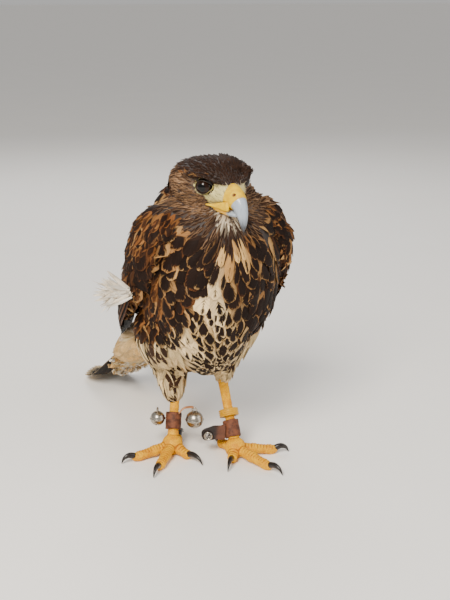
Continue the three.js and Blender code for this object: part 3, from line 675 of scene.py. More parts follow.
# Joined vanes as closed thin solids, with their colours and two UV maps
def makeVanes(name, spines, overs, halfWidths, colors, style, axisLine, material, slot, replaced=()):
    draw = np.random.default_rng(style.get("seed", 1))
    count, rowCount = spines.shape[:2]
    columns = np.array(style.get("columns", (-1, 0, 1)), float)
    columnCount = len(columns)
    shares = style["rows"]
    along = np.gradient(spines, axis=1)
    across = unit(np.cross(overs, along))
    over = unit(np.cross(along, across))
    wide = halfWidths[..., None, None] if halfWidths.ndim == 2 else halfWidths[:, None, None, None]
    if halfWidths.ndim == 1:
        wide = wide * style["outline"](shares)[None, :, None, None]
    c = columns[None, None, :, None]
    spread = spines[:, :, None] + across[:, :, None] * (c * wide)
    roll = draw.uniform(-1, 1, count)[:, None, None, None] * style.get("roll", 0.1)
    roll = roll + style.get("tilt", 0.0)
    spread = spread + over[:, :, None] * ((roll * c - style.get("camber", 0.25) * c * c) * wide)
    if style.get("ragged"):
        push = draw.normal(0, style["ragged"], (count, rowCount, columnCount)) * np.abs(columns)
        push = push * shares[None, :, None]
        spread = spread + unit(along)[:, :, None] * push[..., None] * wide
    thick = style.get("thick", 0.3) * (1 - c * c)
    top = spread + over[:, :, None] * thick / 2
    bottom = (spread - over[:, :, None] * thick / 2)[:, 1:-1, 1:-1]
    topCount, bottomCount = rowCount * columnCount, (rowCount - 2) * (columnCount - 2)
    perVane = topCount + bottomCount
    vertices = np.concatenate(
        [top.reshape(count, topCount, 3), bottom.reshape(count, bottomCount, 3)], axis=1
    ).reshape(-1, 3)
    topIndex = np.arange(topCount).reshape(rowCount, columnCount)
    bottomIndex = topIndex.copy()
    bottomIndex[1:-1, 1:-1] = topCount + np.arange(bottomCount).reshape(rowCount - 2, columnCount - 2)

    def quads(index, flip):
        near, far = index[:-1], index[1:]
        sides = [near[:, :-1], near[:, 1:], far[:, 1:], far[:, :-1]]
        return np.stack(sides[::-1] if flip else sides, axis=-1).reshape(-1, 4)

    onePiece = np.concatenate([quads(topIndex, True), quads(bottomIndex, False)])
    faces = (onePiece[None] + (np.arange(count) * perVane)[:, None, None]).reshape(-1, 4)
    mesh = bpy.data.meshes.new(name)
    mesh.vertices.add(len(vertices))
    mesh.vertices.foreach_set("co", toFrame(vertices).ravel())
    mesh.loops.add(faces.size)
    mesh.loops.foreach_set("vertex_index", faces.ravel())
    mesh.polygons.add(len(faces))
    mesh.polygons.foreach_set("loop_start", np.arange(len(faces)) * 4)
    mesh.update(calc_edges=True)
    rim = np.ones(perVane, bool)
    rim[topIndex[1:-1, 1:-1]] = False
    rim[topCount:] = False
    rimOf = np.tile(rim, count)
    ends = np.zeros(len(mesh.edges) * 2, int)
    mesh.edges.foreach_get("vertices", ends)
    sharp = rimOf[ends[::2]] & rimOf[ends[1::2]]
    mesh.attributes.new("sharp_edge", "BOOLEAN", "EDGE").data.foreach_set("value", sharp)
    cross = np.broadcast_to((columns + 1) / 2, (rowCount, columnCount))
    down = np.broadcast_to(shares[:, None], (rowCount, columnCount))
    uv = np.concatenate([
        np.stack([cross, down], axis=-1).reshape(-1, 2),
        np.stack([cross, down], axis=-1)[1:-1, 1:-1].reshape(-1, 2),
    ])
    places = bakePlaces(name, spines[:, 0], axisLine)
    for layer, values in (
        ("Vane", np.tile(uv, (count, 1))),
        ("OFBake", (places[:, None] + (uv[None] - 0.5) * bakePatch).reshape(-1, 2)),
    ):
        mesh.uv_layers.new(name=layer).data.foreach_set("uv", values[faces.ravel()].ravel())
    for layer, values in colors.items():
        data = mesh.color_attributes.new(layer, "FLOAT_COLOR", "POINT").data
        data.foreach_set("color", np.repeat(values, perVane, axis=0).ravel())
    mesh.shade_smooth()
    print(name, count, "vanes", 2 * len(faces), "triangles")
    return finished(newObject(name, mesh), material, slot, *replaced)


def vaneColors(main, edge, centre, tip, taper, bars, draw):
    count = len(main)
    full = lambda value: np.broadcast_to(value, count)
    return {
        "mainColor": np.column_stack([main, draw.uniform(0, 1, count)]),
        "edgeColor": np.column_stack([edge, np.ones(count)]),
        "marks": np.column_stack([full(centre), full(tip), full(taper), full(bars)]),
    }


def patchNoise(spots, scale, seed=0.0):
    shifted = spots * scale + seed
    return np.array([noise.noise(Vector(spot)) for spot in shifted.tolist()])


def pick(first, second, share):
    return first + (second - first) * np.asarray(share)[..., None]


# How far each place is from the middle of a patch, 1 inside it and 0 outside
def patch(spots, middle, size):
    away = (spots - np.array(middle)) / np.array(size)
    return ramp(np.linalg.norm(away, axis=1), 1.25, 0.75)


bodyAxis = Line(
    (-11, -40, 268), (-8, -26, 235), (-1, -12, 195), (0, -4, 165), (0, 6, 130), (0, 12, 100), (0, 14, 60)
)


# Bare skin: inside the lids, the lores up to the brow, and round the bill
loreTop = {"ahead": [14, 19, 22, 25, 29, 32, 36], "up": [-6, 0.5, 3.6, 3.2, 2.6, 4.6, 8]}


def isBareFace(spots):
    aside, ahead, up = inHead(spots)
    lids = np.minimum(lidShare(spots, 1), lidShare(spots, -1))
    near = np.linalg.norm(spots - billRoot, axis=1) < 27
    lores = (ahead > 16.5) & (up < np.interp(ahead, loreTop["ahead"], loreTop["up"])) & (up > -17)
    return (lids < 1.03) | (near & (lores | ((ahead > 33) & (up < 8) & (up > -20))))


# Colours of the small feathers of head and neck
def headMarks(spots, draw):
    count = len(spots)
    aside, ahead, up = inHead(spots)
    side = np.abs(aside)
    fromBill = np.linalg.norm(spots - billRoot, axis=1)
    around = np.arctan2(up + 8, side)
    streak = patchNoise(np.column_stack([around * 9, fromBill * 0.05, np.sign(aside) * 3]), 1.0)
    lines = draw.random(count)
    main = pick(shades["crown"], shades["crownEdge"], 0.5 * draw.random(count) ** 2)
    edge = pick(shades["crown"], shades["crownEdge"], 0.4 + 0.5 * draw.random(count))
    low = ramp(up, 6, 0) * ramp(side, 8, 13)
    buff = ramp(streak + 0.5 * (lines - 0.5), -0.05, 0.25)
    cheek = pick(shades["cheek"], shades["cheekStreak"], 0.4 * buff * ramp(lines, 0.3, 0.8))
    main = main + (cheek - main) * low[:, None]
    cheekEdge = pick(shades["cheek"], shades["cheekStreak"], 0.35 + 0.65 * lines)
    edge = edge + (cheekEdge - edge) * low[:, None]
    browLine = np.abs(up - np.interp(ahead, [-14, 0, 12, 24], [4.5, 6.0, 7.4, 5.6]))
    brow = ramp(browLine, 2.2, 0.7) * ramp(ahead, -18, -8) * ramp(ahead, 24, 18) * ramp(side, 13, 16)
    brow = brow * ramp(lines, 0.55, 0.75)
    main = main + (shades["brow"] - main) * (0.75 * brow)[:, None]
    edge = edge + (shades["fringe"] - edge) * (0.7 * brow)[:, None]
    chin = ramp(up, -14, -17) * ramp(side, 13, 9) * ramp(ahead, 6, 14) * ramp(up, -40, -32)
    white = (draw.random(count) < 0.42)[:, None]
    chinColor = np.where(white, shades["chin"], shades["cheek"])
    main = main + (chinColor - main) * chin[:, None]
    edge = edge + (pick(chinColor, shades["chin"], 0.3 + 0 * chin) - edge) * chin[:, None]
    throat = ramp(up, -20, -30) * (1 - chin)
    throatColor = pick(shades["throat"], shades["breast"], draw.random(count))
    main = main + (throatColor - main) * throat[:, None]
    throatEdge = pick(shades["throat"], shades["cheekStreak"], 0.6 * lines * ramp(side, 4, 16))
    edge = edge + (throatEdge - edge) * throat[:, None]
    return main, edge


# Colours of the body: a dark breast, a buff and cream middle, streaks below
patches = {
    "buffMiddle": {"middle": (-4, -68, 191), "size": (16, 40, 19)},
    "buffTop": {"middle": (4, -67, 208), "size": (9, 40, 13)},
    "creamMiddle": {"middle": (-20, -66, 157), "size": (11, 40, 15)},
    "creamTail": {"middle": (-12, -60, 134), "size": (6, 40, 18)},
    "rufousSpot": {"middle": (-30, -62, 196), "size": (5, 30, 9)},
    "whiteSpot": {"middle": (-29, -38, 106), "size": (7, 40, 14)},
    "darkSpot": {"middle": (6, -71, 168), "size": (8, 40, 8)},
    "darkBreast": {"middle": (-32, -58, 174), "size": (15, 40, 22)},
    "darkThigh": {"middle": (-45, -32, 120), "size": (9, 40, 13)},
    "darkFlank": {"middle": (-50, -25, 103), "size": (8, 40, 17)},
}


def bodyMarks(spots, normals, draw):
    count = len(spots)
    x, y, z = spots.T
    inside = {name: patch(spots, p["middle"], p["size"]) for name, p in patches.items()}
    lines = draw.random(count)
    main = pick(shades["breast"], shades["crown"], lines * 0.5)
    warm = draw.random(count)
    edge = pick(shades["chestnut"], shades["fringe"], 0.2 + 0.8 * warm)
    plainDark = ramp(draw.random(count), 0.5, 0.4)[:, None]
    edge = edge + (pick(shades["crown"], shades["chestnut"], 0.6 * warm) - edge) * plainDark
    centre = 0.92 - 0.2 * draw.random(count)
    tip = 0.97 + 0.06 * draw.random(count)
    taper = 0.6 + 0.5 * draw.random(count)
    beside = np.abs(x + 14)
    belly = ramp(z, 172 - 1.5 * beside, 150 - 1.5 * beside) * ramp(normals[:, 1], 0.15, -0.2)
    flank = ramp(x, 0, 14) * ramp(z, 92, 112)
    centre = blendTo(centre, 0.66 + 0.16 * lines, belly * (1 - flank))
    centre = centre + 0.16 * flank * (1 - inside["buffMiddle"])
    taper = blendTo(taper, 1.0, belly)
    tip = blendTo(tip, 0.96, belly)
    low = ramp(z, 118, 92)
    pale = pick(shades["buff"], shades["cream"], np.clip(0.5 * warm + low, 0, 1))
    edge = edge + (pale - edge) * (belly * (0.95 - 0.6 * flank * (1 - warm)))[:, None]
    edge = pick(edge, shades["fringe"], 0.5 * flank * belly)
    spotted = np.maximum(np.maximum(inside["buffMiddle"], inside["buffTop"]), inside["rufousSpot"])
    plain = np.maximum(inside["creamMiddle"], inside["whiteSpot"])
    centre = blendTo(centre, 0.08 + 0.4 * (lines > 0.86), spotted)
    centre = blendTo(centre, 0.1 + 0.35 * (lines > 0.7), plain)
    centre = blendTo(centre, 0.3 + 0.2 * lines, inside["creamTail"])
    buff = pick(shades["rufous"], shades["buff"], 0.3 + 0.7 * warm)
    edge = edge + (buff - edge) * np.maximum(inside["buffMiddle"], inside["buffTop"])[:, None]
    edge = edge + (shades["cream"] - edge) * np.maximum(plain, inside["creamTail"])[:, None]
    edge = edge + (shades["rufous"] - edge) * inside["rufousSpot"][:, None]
    dark = np.maximum(inside["darkSpot"], inside["darkBreast"])
    dark = np.maximum(dark, np.maximum(inside["darkThigh"], inside["darkFlank"]))
    centre = blendTo(centre, 0.92, dark)
    taper = blendTo(taper, 0.1, dark)
    tip = blendTo(tip, 0.965, dark)
    rear = ramp(normals[:, 1], 0.0, 0.4)
    edge = edge + (pick(shades["chestnut"], shades["covert"], lines) - edge) * rear[:, None]
    centre = blendTo(centre, 0.84, rear)
    return main, edge, centre, tip, taper


fromBillFace = faceReach(faceMiddle)
bare = isBareFace(faceMiddle)


def nearLine(spots, line, reach):
    return np.min(np.linalg.norm(spots[:, None] - line.dense[None, ::6], axis=2), axis=1) < reach


thighLines = {
    "right": Line((-38, -4, 132), (-36, 8, 108), (-25, 26, 81), (-25.4, 11.3, 39)),
    "left": Line((38, -4, 132), (36, 8, 108), (27, 8, 81), (16.6, -2, 55)),
}
isThigh = {side: nearLine(faceMiddle, line, 29) & (faceMiddle[:, 2] < 118) for side, line in thighLines.items()}
isThigh["right"] &= faceMiddle[:, 0] < -6
isThigh["left"] &= faceMiddle[:, 0] > 6
undertailLine = Line((-4, 30, 106), (-4, 54, 95), (-20, 87, 75), (-30, 140, 37))
isTail = nearLine(faceMiddle, undertailLine, 42) & (faceMiddle[:, 1] > 24) & (faceMiddle[:, 2] < 120)
isTail |= faceMiddle[:, 1] > 76
isWing = np.zeros(len(faceMiddle), bool)
wingInside = np.zeros(len(faceMiddle), bool)
for frameOf, side in wings.values():
    places = frameOf["line"].dense[::4]
    apart = np.linalg.norm(faceMiddle[:, None] - places[None], axis=2)
    nearest = np.argmin(apart, axis=1)
    out = (faceMiddle[:, 0] - places[nearest, 0]) * side
    below = (faceMiddle[:, 1] > 44) & (faceMiddle[:, 2] < places[nearest, 2] - 9)
    outer = (out > -2) & (faceNormal[:, 0] * side > -0.2) & ~below
    isWing |= (apart.min(axis=1) < 42) & outer & (faceMiddle[:, 2] < 226)
    wingInside |= (apart.min(axis=1) < 22) & (out <= 2) & ~below

isTail &= ~isWing & ~wingInside & ~isThigh["right"] & ~isThigh["left"]


def coat(name, mask, spacing, seed, style, length, width, lift, cling, marks, material, axisLine=bodyAxis, lie=None):
    draw = np.random.default_rng(seed)
    roots, normals = scatter(mask, spacing, seed)
    lies = (lie or lieOf)(roots, normals)
    lies = unit(lies - normals * np.sum(lies * normals, axis=1, keepdims=True))
    lengths = length(roots) * draw.uniform(0.82, 1.15, len(roots))
    spines, overs = combed(
        roots, normals, lies, lengths, style["rows"], -0.5, lift(roots, lengths), cling, draw,
        style.get("stray", 0.12),
    )
    main, edge, centre, tip, taper = marks(spines[:, int(len(style["rows"]) * 0.7)], normals, draw)
    colors = vaneColors(main, edge, centre, tip, taper, 0.0, draw)
    halfWidths = width(roots, lengths) * draw.uniform(0.82, 1.15, len(roots))
    return makeVanes(
        name, spines, overs, halfWidths, colors, {**style, "seed": seed + 1}, axisLine, material, "plumage"
    )


# Head feathers: short on the crown, long and narrow on cheeks and neck
headSizes = {
    "length": smooth((8, 2.4), (20, 4.0), (32, 6.4), (46, 9.0), (66, 13)),
    "gap": smooth((8, 0.95), (20, 1.15), (32, 1.6), (46, 2.1), (66, 2.9)),
}


def farSide(spots):
    aside, ahead, up = inHead(spots)
    return ramp(aside, 8, 17) * ramp(ahead, 18, 10)


def chinShare(spots):
    aside, ahead, up = inHead(spots)
    return ramp(up, -14, -18) * ramp(np.abs(aside), 13, 8) * ramp(ahead, 10, 20)


def headCoat(name, low, high, seed):
    def marks(spots, normals, draw):
        main, edge = headMarks(spots, draw)
        count = len(spots)
        return main, edge, 0.5 + 0.3 * draw.random(count), 0.92 + 0 * draw.random(count), 0.25

    crown = lambda s: ramp(inHead(s)[2], 3, 8)
    mask = (fromBillFace > low) & (fromBillFace < high) & ~bare & ~isWing
    style = {
        "rows": rowSets["small"], "outline": outlines["lance"], "roll": 0.3, "camber": 0.3, "thick": 0.14,
        "stray": 0.12,
    }
    return coat(
        name, mask, lambda s: headSizes["gap"](faceReach(s)), seed, style,
        lambda s: headSizes["length"](faceReach(s)) * (1 - 0.2 * crown(s) + 0.8 * farSide(s) + 0.7 * chinShare(s)),
        lambda s, l: (l * (0.125 + 0.06 * crown(s)) + 0.1) * (1 - 0.5 * chinShare(s)), headLift, 0.9, marks, headLook,
    )


# Feathers stand off more on the crown, the brow and the bird's left cheek
def headLift(spots, lengths):
    aside, ahead, up = inHead(spots)
    crown = ramp(up, 2, 9) * ramp(ahead, 26, 14) * ramp(aside, 16, 6)
    farCheek = ramp(aside, 8, 17) * ramp(ahead, 17, 10) * ramp(up, -34, -22)
    farBrow = ramp(aside, 9, 14) * ramp(up, 4, 7) * ramp(ahead, 6, 12)
    farEar = ramp(aside, 9, 15) * ramp(ahead, 16, 9) * ramp(up, 7, 2) * ramp(up, -26, -14)
    return 0.3 + 0.09 * lengths + 0.3 * crown + np.maximum(np.maximum(2.2 * farCheek, 1.2 * farBrow), 2.6 * farEar)


headCoat("coat_face", 0, 27, 11)
headCoat("coat_head", 27, 46, 12)
headCoat("coat_neck", 46, 63, 13)
bodyFaces = (fromBillFace >= 58) & ~isThigh["right"] & ~isThigh["left"] & ~isTail
bodyStyle = {
    "rows": rowSets["body"], "outline": outlines["round"], "columns": (-1, -0.5, 0, 0.5, 1),
    "roll": 0.2, "camber": 0.22, "thick": 0.24, "ragged": 0.16, "stray": 0.16,
}
breastStyle = {**bodyStyle, "rows": rowSets["breast"], "columns": (-1, -0.72, -0.38, 0, 0.38, 0.72, 1)}
grown = lambda s: ramp(faceReach(s), 46, 68)
bellyShare = lambda s: ramp(s[:, 2], 176, 150)
fan = lambda s: patch(s, (-3, -68, 204), (17, 40, 22))


def bodyCoat(name, mask, seed, style, scale=1.0):
    gapAt = lambda s: scale * blendTo(3.2, blendTo(7.4, 5.4, bellyShare(s)), grown(s)) * (1 - 0.4 * fan(s))
    lengthAt = lambda s: blendTo(12, 25, grown(s)) * (0.5 + 0.5 * scale)
    widthAt = lambda s, l: l * blendTo(0.19, blendTo(0.3, 0.2, bellyShare(s)), grown(s)) * (1 - 0.5 * fan(s))
    return coat(
        name, mask, gapAt, seed, style, lengthAt, widthAt, lambda s, l: 0.9 + 0.1 * l, 0.95, bodyMarks, contourLook
    )


frontFaces = bodyFaces & (faceNormal[:, 1] < 0.15)
bodyCoat("coat_breast", frontFaces & (faceMiddle[:, 2] > 160), 21, breastStyle)
bodyCoat("coat_belly", frontFaces & (faceMiddle[:, 2] <= 160), 22, {**breastStyle, "outline": outlines["drop"]})
bodyCoat("coat_back", bodyFaces & (faceNormal[:, 1] >= 0.15), 23, bodyStyle, 0.8)


# Thighs and tail coverts: long soft feathers
thighPatches = {
    "darkTop": {"middle": (-46, -28, 118), "size": (10, 30, 14)},
    "greyLong": {"middle": (-47, -17, 99), "size": (8.5, 30, 17)},
    "darkLow": {"middle": (-26, 4, 62), "size": (4, 30, 16)},
    "leftDark": {"middle": (24, -8, 82), "size": (5, 30, 16)},
}


def thighMarks(spots, normals, draw):
    count = len(spots)
    inside = {name: patch(spots, p["middle"], p["size"]) for name, p in thighPatches.items()}
    solid = np.maximum.reduce(list(inside.values())) > 0.5
    dark = solid | (draw.random(count) < 0.16)
    brown = pick(shades["thighMark"], shades["throat"], 0.6 * draw.random(count) + 0.4 * inside["greyLong"])
    main = np.where(dark[:, None], brown, shades["thigh"])
    edge = pick(shades["thigh"], shades["cream"], draw.random(count))
    return main, edge, np.where(solid, 0.93, np.where(dark, 0.8, 0.3)), 0.95, 0.4


def thighCoat(name, side, seed):
    line = thighLines[side]
    end = line.at(1.0) + (line.at(1.0) - line.at(0.9)) * 1.5
    lie = lambda spots, normals: unit(end - spots)
    style = {
        "rows": rowSets["body"], "outline": outlines["lance"], "columns": (-1, -0.5, 0, 0.5, 1),
        "roll": 0.25, "camber": 0.25, "thick": 0.18, "ragged": 0.25, "stray": 0.16,
    }
    reach = smooth((30, 11), (60, 18), (110, 26))
    return coat(
        name, isThigh[side], lambda s: 0.2 * reach(s[:, 2]), seed, style, lambda s: reach(s[:, 2]),
        lambda s, l: 0.15 * l, lambda s, l: 0.6 + 0.12 * l, 0.7, thighMarks, contourLook, line, lie,
    )


thighCoat("coat_thigh_right", "right", 31)
thighCoat("coat_thigh_left", "left", 32)


def tailMarks(spots, normals, draw):
    count = len(spots)
    over = ramp(normals[:, 2], 0.45, 0.75) * ramp(spots[:, 1], 60, 85)
    pale = pick(shades["undertail"], shades["cream"], 0.5 * draw.random(count))
    main = pale + (shades["white"] - pale) * over[:, None]
    return main, pick(pale, shades["white"], 0.15 + 0.5 * over), 0.9, 0.97, 0.1


tailStyle = {
    "rows": rowSets["body"], "outline": outlines["long"], "columns": (-1, -0.5, 0, 0.5, 1),
    "roll": 0.08, "camber": 0.15, "thick": 0.16, "ragged": 0.12, "stray": 0.07,
}
coat(
    "coat_tail", isTail, lambda s: 3.6 + 0 * s[:, 0], 41, tailStyle, lambda s: 24 + 0 * s[:, 0],
    lambda s, l: 0.15 * l, lambda s, l: 0.3 + 0.07 * l, 0.97, tailMarks, contourLook, tailLine,
    lambda spots, normals: unit(tailLine.at(0.75) - spots),
)


# Wings: small coverts over the core, then tiers of vanes out to the tips
def wingCoat(name, side, seed):
    frameOf, sign = wings[side]
    line = frameOf["line"]

    def lie(spots, normals):
        nearest = np.argmin(np.linalg.norm(spots[:, None] - line.dense[None], axis=2), axis=1)
        drop = 0.15 + 0.8 * ramp(normals[:, 2], 0.15, -0.35)
        return line.along(line.shares[nearest]) - np.array([0, 0, 1.0]) * drop[:, None]

    def marks(spots, normals, draw):
        count = len(spots)
        warm = np.clip(0.5 + 1.4 * patchNoise(spots, 0.05, seed) + 0.5 * (draw.random(count) - 0.5), 0, 1)
        main = pick(shades["covert"], shades["breast"], draw.random(count))
        main = pick(main, shades["chestnut"], 0.4 * warm * draw.random(count))
        edge = pick(shades["covert"], shades["chestnut"], 0.4 + 0.6 * draw.random(count))
        edge = pick(edge, shades["rufous"], 0.5 * warm * draw.random(count))
        return main, edge, 0.95 - 0.4 * warm, 1.02, 0.9

    mask = isWing & (faceMiddle[:, 0] * sign > 0) & (fromBillFace > 50)
    reach = smooth((0, 14), (60, 19), (110, 26))
    fromTop = lambda s: reach(np.linalg.norm(s - line.at(0.0), axis=1))
    style = {**breastStyle, "outline": outlines["drop"], "stray": 0.13}
    return coat(
        name, mask, lambda s: 0.22 * fromTop(s), seed, style, fromTop, lambda s, l: 0.2 * l,
        lambda s, l: 1.2 + 0.12 * l, 0.95, marks, contourLook, line, lie,
    )


wingCoat("coat_wing_right", "right", 51)
wingCoat("coat_wing_left", "left", 52)

wingTiers = {
    "greater": {
        "count": 14, "share": (0.27, 0.6, 0.08), "turn": (-58, 96, -58, 110), "lift": (-3.6, -1.2),
        "half": 9.0, "roll": 0.22, "centre": 0.9, "edge": "chestnut", "layer": 0.0,
    },
    "secondary": {
        "count": 14, "share": (0.3, 0.68, 0.1), "turn": (-58, 96, -56, 110), "lift": (-4.2, -1.8),
        "half": 9.0, "roll": 0.2, "centre": 0.97, "edge": "chestnut", "layer": 0.0,
    },
    "primary": {
        "count": 10, "share": (0.42, 0.78, 0.22), "turn": (-46, 30, -44, 48), "lift": (-5.5, -2.2),
        "half": 7.5, "roll": 0.06, "centre": 0.97, "edge": "covert", "layer": 2.0,
    },
}


def wingFeathers(side, seed):
    frameOf, sign = wings[side]
    draw = np.random.default_rng(seed)
    rows = rowSets["flight"]
    for tierName, tier in wingTiers.items():
        place = np.linspace(0, 1, tier["count"])[:, None]
        fromShare, toShare, spreadShare = tier["share"]
        fromTurn, turnSpan, toTurn, endSpan = tier["turn"]
        power = 0.8 if tierName == "primary" else 1.0
        rootShare = fromShare + 0 * place
        tipShare = toShare + spreadShare * place**power + draw.normal(0, 0.006, place.shape)
        share = rootShare + (tipShare - rootShare) * rows
        turn = (fromTurn + turnSpan * place) * (1 - rows) + (toTurn + endSpan * place) * rows
        lowLift, highLift = tier["lift"]
        lift = lowLift + (highLift - lowLift) * np.minimum(rows * 2.1, 1) + tier["layer"] * place
        spots, normals, upward = wingPlace(frameOf, sign, share, turn, lift)
        overs = unit(normals + upward * tier["roll"])
        count = tier["count"]
        main = pick(shades["flight"], shades["covert"], draw.random(count) * (0.9 if power == 1 else 0.2))
        edge = pick(shades["covert"], shades[tier["edge"]], draw.uniform(0.3, 0.9, count))
        colors = vaneColors(main, edge, tier["centre"], 0.965, 0.0, 0.25 if tierName == "secondary" else 0.0, draw)
        style = {
            "rows": rows, "outline": outlines["long"], "columns": (-1, -0.6, 0, 0.6, 1), "roll": 0.03,
            "camber": 0.1, "thick": 0.5, "ragged": 0.01, "seed": seed,
        }
        replaced = ("wing_" + side,) if tierName == "primary" else ()
        makeVanes(
            tierName + "_feathers_" + side, spots, overs, np.full(count, tier["half"]), colors, style,
            frameOf["line"], flightLook, "plumage", replaced,
        )
        seed += 1


wingFeathers("right", 61)
wingFeathers("left", 71)


# Tail: twelve flight feathers fanned a little, dark with a pale tip
def tailFeathers():
    draw = np.random.default_rng(81)
    rows = rowSets["flight"]
    i = np.arange(-5.5, 6)[:, None]
    share = 0.04 + (0.96 - 0.002 * i * i) * rows
    over, across = tailLine.axes(share, tailHint)
    spots = tailLine.at(share) + across * (i * (1.4 + 2.1 * share))[..., None]
    spots = spots + over * (-0.6 - 1.2 * np.abs(i) + 0 * share)[..., None]
    main = np.tile(shades["tail"], (12, 1))
    edge = np.tile(shades["cream"], (12, 1))
    colors = vaneColors(main, edge, 1.2, 0.94, 0.0, 0.5, draw)
    style = {
        "rows": rows, "outline": outlines["long"], "columns": (-1, -0.6, 0, 0.6, 1), "roll": 0.02,
        "camber": 0.05, "thick": 0.5, "ragged": 0.01, "seed": 82,
    }
    overs = over + across * (-0.03 * np.sign(i))[..., None]
    made = makeVanes(
        "tail_feathers", spots, unit(overs), np.full(12, 10.0), colors, style, tailLine, flightLook,
        "flight_feathers", ("tail",),
    )
    floorLevel = 0.0004
    for vertex in made.data.vertices:
        vertex.co.z = max(vertex.co.z, floorLevel)


tailFeathers()


# The white down that sticks out beside the right wing
downTuft = {"root": (-74, -13, 154), "plumes": 150, "length": 24, "seed": 91}


def makeTuft():
    draw = np.random.default_rng(downTuft["seed"])
    count = downTuft["plumes"]
    rise = draw.uniform(-0.8, 0.8, count)
    lean = draw.normal(0, 0.16, count)
    reach = unit(np.column_stack([np.full(count, -0.92), 0.37 + lean, rise]))
    length = downTuft["length"] * (1 - 0.18 * np.abs(rise)) * draw.uniform(0.6, 1.08, count)
    rows = rowSets["body"]
    root = np.array(downTuft["root"]) + draw.normal(0, 2.4, (count, 3))
    bend = draw.normal(0, 3.0, (count, 3))
    spots = root[:, None] + reach[:, None] * (length[:, None] * rows)[..., None]
    spots = spots + bend[:, None] * (rows**2)[None, :, None]
    overs = np.tile(unit(np.array([0.3, -0.9, 0.2])), (count, len(rows), 1)) + draw.normal(0, 0.4, (count, 1, 3))
    pale = pick(shades["white"], shades["cream"], 0.4 * draw.random(count))
    colors = vaneColors(pale, pale, 0.9, 0.95, 0.0, 0.0, draw)
    style = {
        "rows": rows, "outline": outlines["wisp"], "columns": (-1, -0.5, 0, 0.5, 1), "roll": 0.4,
        "camber": 0.2, "thick": 0.15, "ragged": 0.5, "seed": 92,
    }
    makeVanes(
        "down_plumes", spots, unit(overs), draw.uniform(0.7, 2.0, count), colors, style, bodyAxis, downLook,
        "plumage_pale", ("down_tuft",),
    )


makeTuft()
print("feathers placed")


# Skin material: bare pale lores near the bill, plumage colours under the feathers darkened as painted shade, and
# painted shade inside the lids round each eye
def paintSkin():
    bareShare = isBareFace(skinSpots).astype(float)
    draw = np.random.default_rng(5)
    base, _ = headMarks(skinSpots, draw)
    body = np.tile(shades["breast"], (len(skinSpots), 1))
    fromBill = np.linalg.norm(skinSpots - billRoot, axis=1)
    color = base + (body - base) * ramp(fromBill, 40, 60)[:, None]
    pale = ramp(skinSpots[:, 1], 56, 66) + ramp(skinSpots[:, 2], 100, 84) * ramp(np.abs(skinSpots[:, 0]), 6, 12)
    color = color + (shades["thigh"] - color) * np.clip(pale, 0, 1)[:, None]
    lids = np.minimum(lidShare(skinSpots, 1), lidShare(skinSpots, -1))
    # Painted shade: near black inside the lids, in the recess round the eye, and the skin under the feathers darkened
    # to 0.7
    color = np.where((lids < 0.93)[:, None], shades["flight"] * 0.6, color * 0.7)
    data = skin.data.color_attributes.new("skinColor", "FLOAT_COLOR", "POINT").data
    data.foreach_set("color", np.column_stack([color, bareShare * (lids >= 0.93)]).ravel())


paintSkin()


def makeSkinLook():
    material, tree, shader = newMaterial("skinUnderFeathers")
    painted = addNode(tree, "ShaderNodeAttribute", attribute_name="skinColor")
    place = addNode(tree, "ShaderNodeTexCoord").outputs["Object"]
    cells = addNode(tree, "ShaderNodeTexVoronoi", {"Vector": place, "Scale": 900.0}).outputs[0]
    soft = noiseOf(tree, place, 160.0)
    lore = mixed(tree, soft, color4(tint(192, 182, 122)), color4(tint(228, 219, 164)))
    color = mixed(tree, painted.outputs["Alpha"], painted.outputs["Color"], lore)
    relief = addNode(tree, "ShaderNodeBump", {"Strength": 0.5, "Distance": 0.0003, "Height": cells})
    tree.links.new(color, shader.inputs["Base Color"])
    tree.links.new(relief.outputs[0], shader.inputs["Normal"])
    tree.links.new(ranged(tree, soft, 0, 1, 0.5, 0.7), shader.inputs["Roughness"])
    return material


finished(skin, makeSkinLook(), "plumage", *fleshNodes)


# Bare parts: cere, bill, lids and eyes
def spottedLook(name, first, second, scale, roughness, bump=0.2, bumpScale=900.0, coatWeight=0.0, stretch=(1, 1, 1)):
    material, tree, shader = newMaterial(name)
    place = stretched(tree, addNode(tree, "ShaderNodeTexCoord").outputs["Object"], stretch)
    soft = noiseOf(tree, place, scale)
    cells = addNode(tree, "ShaderNodeTexVoronoi", {"Vector": place, "Scale": bumpScale}).outputs[0]
    relief = addNode(tree, "ShaderNodeBump", {"Strength": bump, "Distance": 0.0003, "Height": cells})
    color = mixed(tree, ranged(tree, soft, 0.3, 0.7), color4(first), color4(second))
    tree.links.new(color, shader.inputs["Base Color"])
    tree.links.new(relief.outputs[0], shader.inputs["Normal"])
    tree.links.new(ranged(tree, soft, 0.2, 0.8, roughness - 0.08, roughness + 0.1), shader.inputs["Roughness"])
    shader.inputs["Coat Weight"].default_value = coatWeight
    shader.inputs["Specular IOR Level"].default_value = 0.3
    return material


cereLook = spottedLook("cere", tint(210, 172, 0), tint(228, 196, 0), 260.0, 0.5, 0.15, 700.0)

billShape = {
    "line": Line(
        headSpot(0, 20, -6), headSpot(0, 32, -5), headSpot(0, 40, -7.5), headSpot(0, 45.8, -14),
        headSpot(0, 48.6, -20), headSpot(0, 50.2, -27),
    ),
    "width": smooth((0, 7.6), (0.3, 7.2), (0.5, 5.8), (0.65, 4.8), (0.8, 3.4), (1, 1.0)),
    "over": smooth((0, 9.4), (0.3, 9.0), (0.5, 6.4), (0.65, 4.9), (0.8, 3.4), (1, 1.2)),
    "under": smooth((0, 8.5), (0.35, 8.8), (0.5, 7.2), (0.65, 5.2), (0.8, 3.2), (1, 1.0)),
    "cereFront": 43.6,
    "cereSlant": 0.6,
    "cereSwell": 0.35,
}


def billHint(share):
    return headUp + headAhead * 1.6 * np.asarray(share)[..., None]


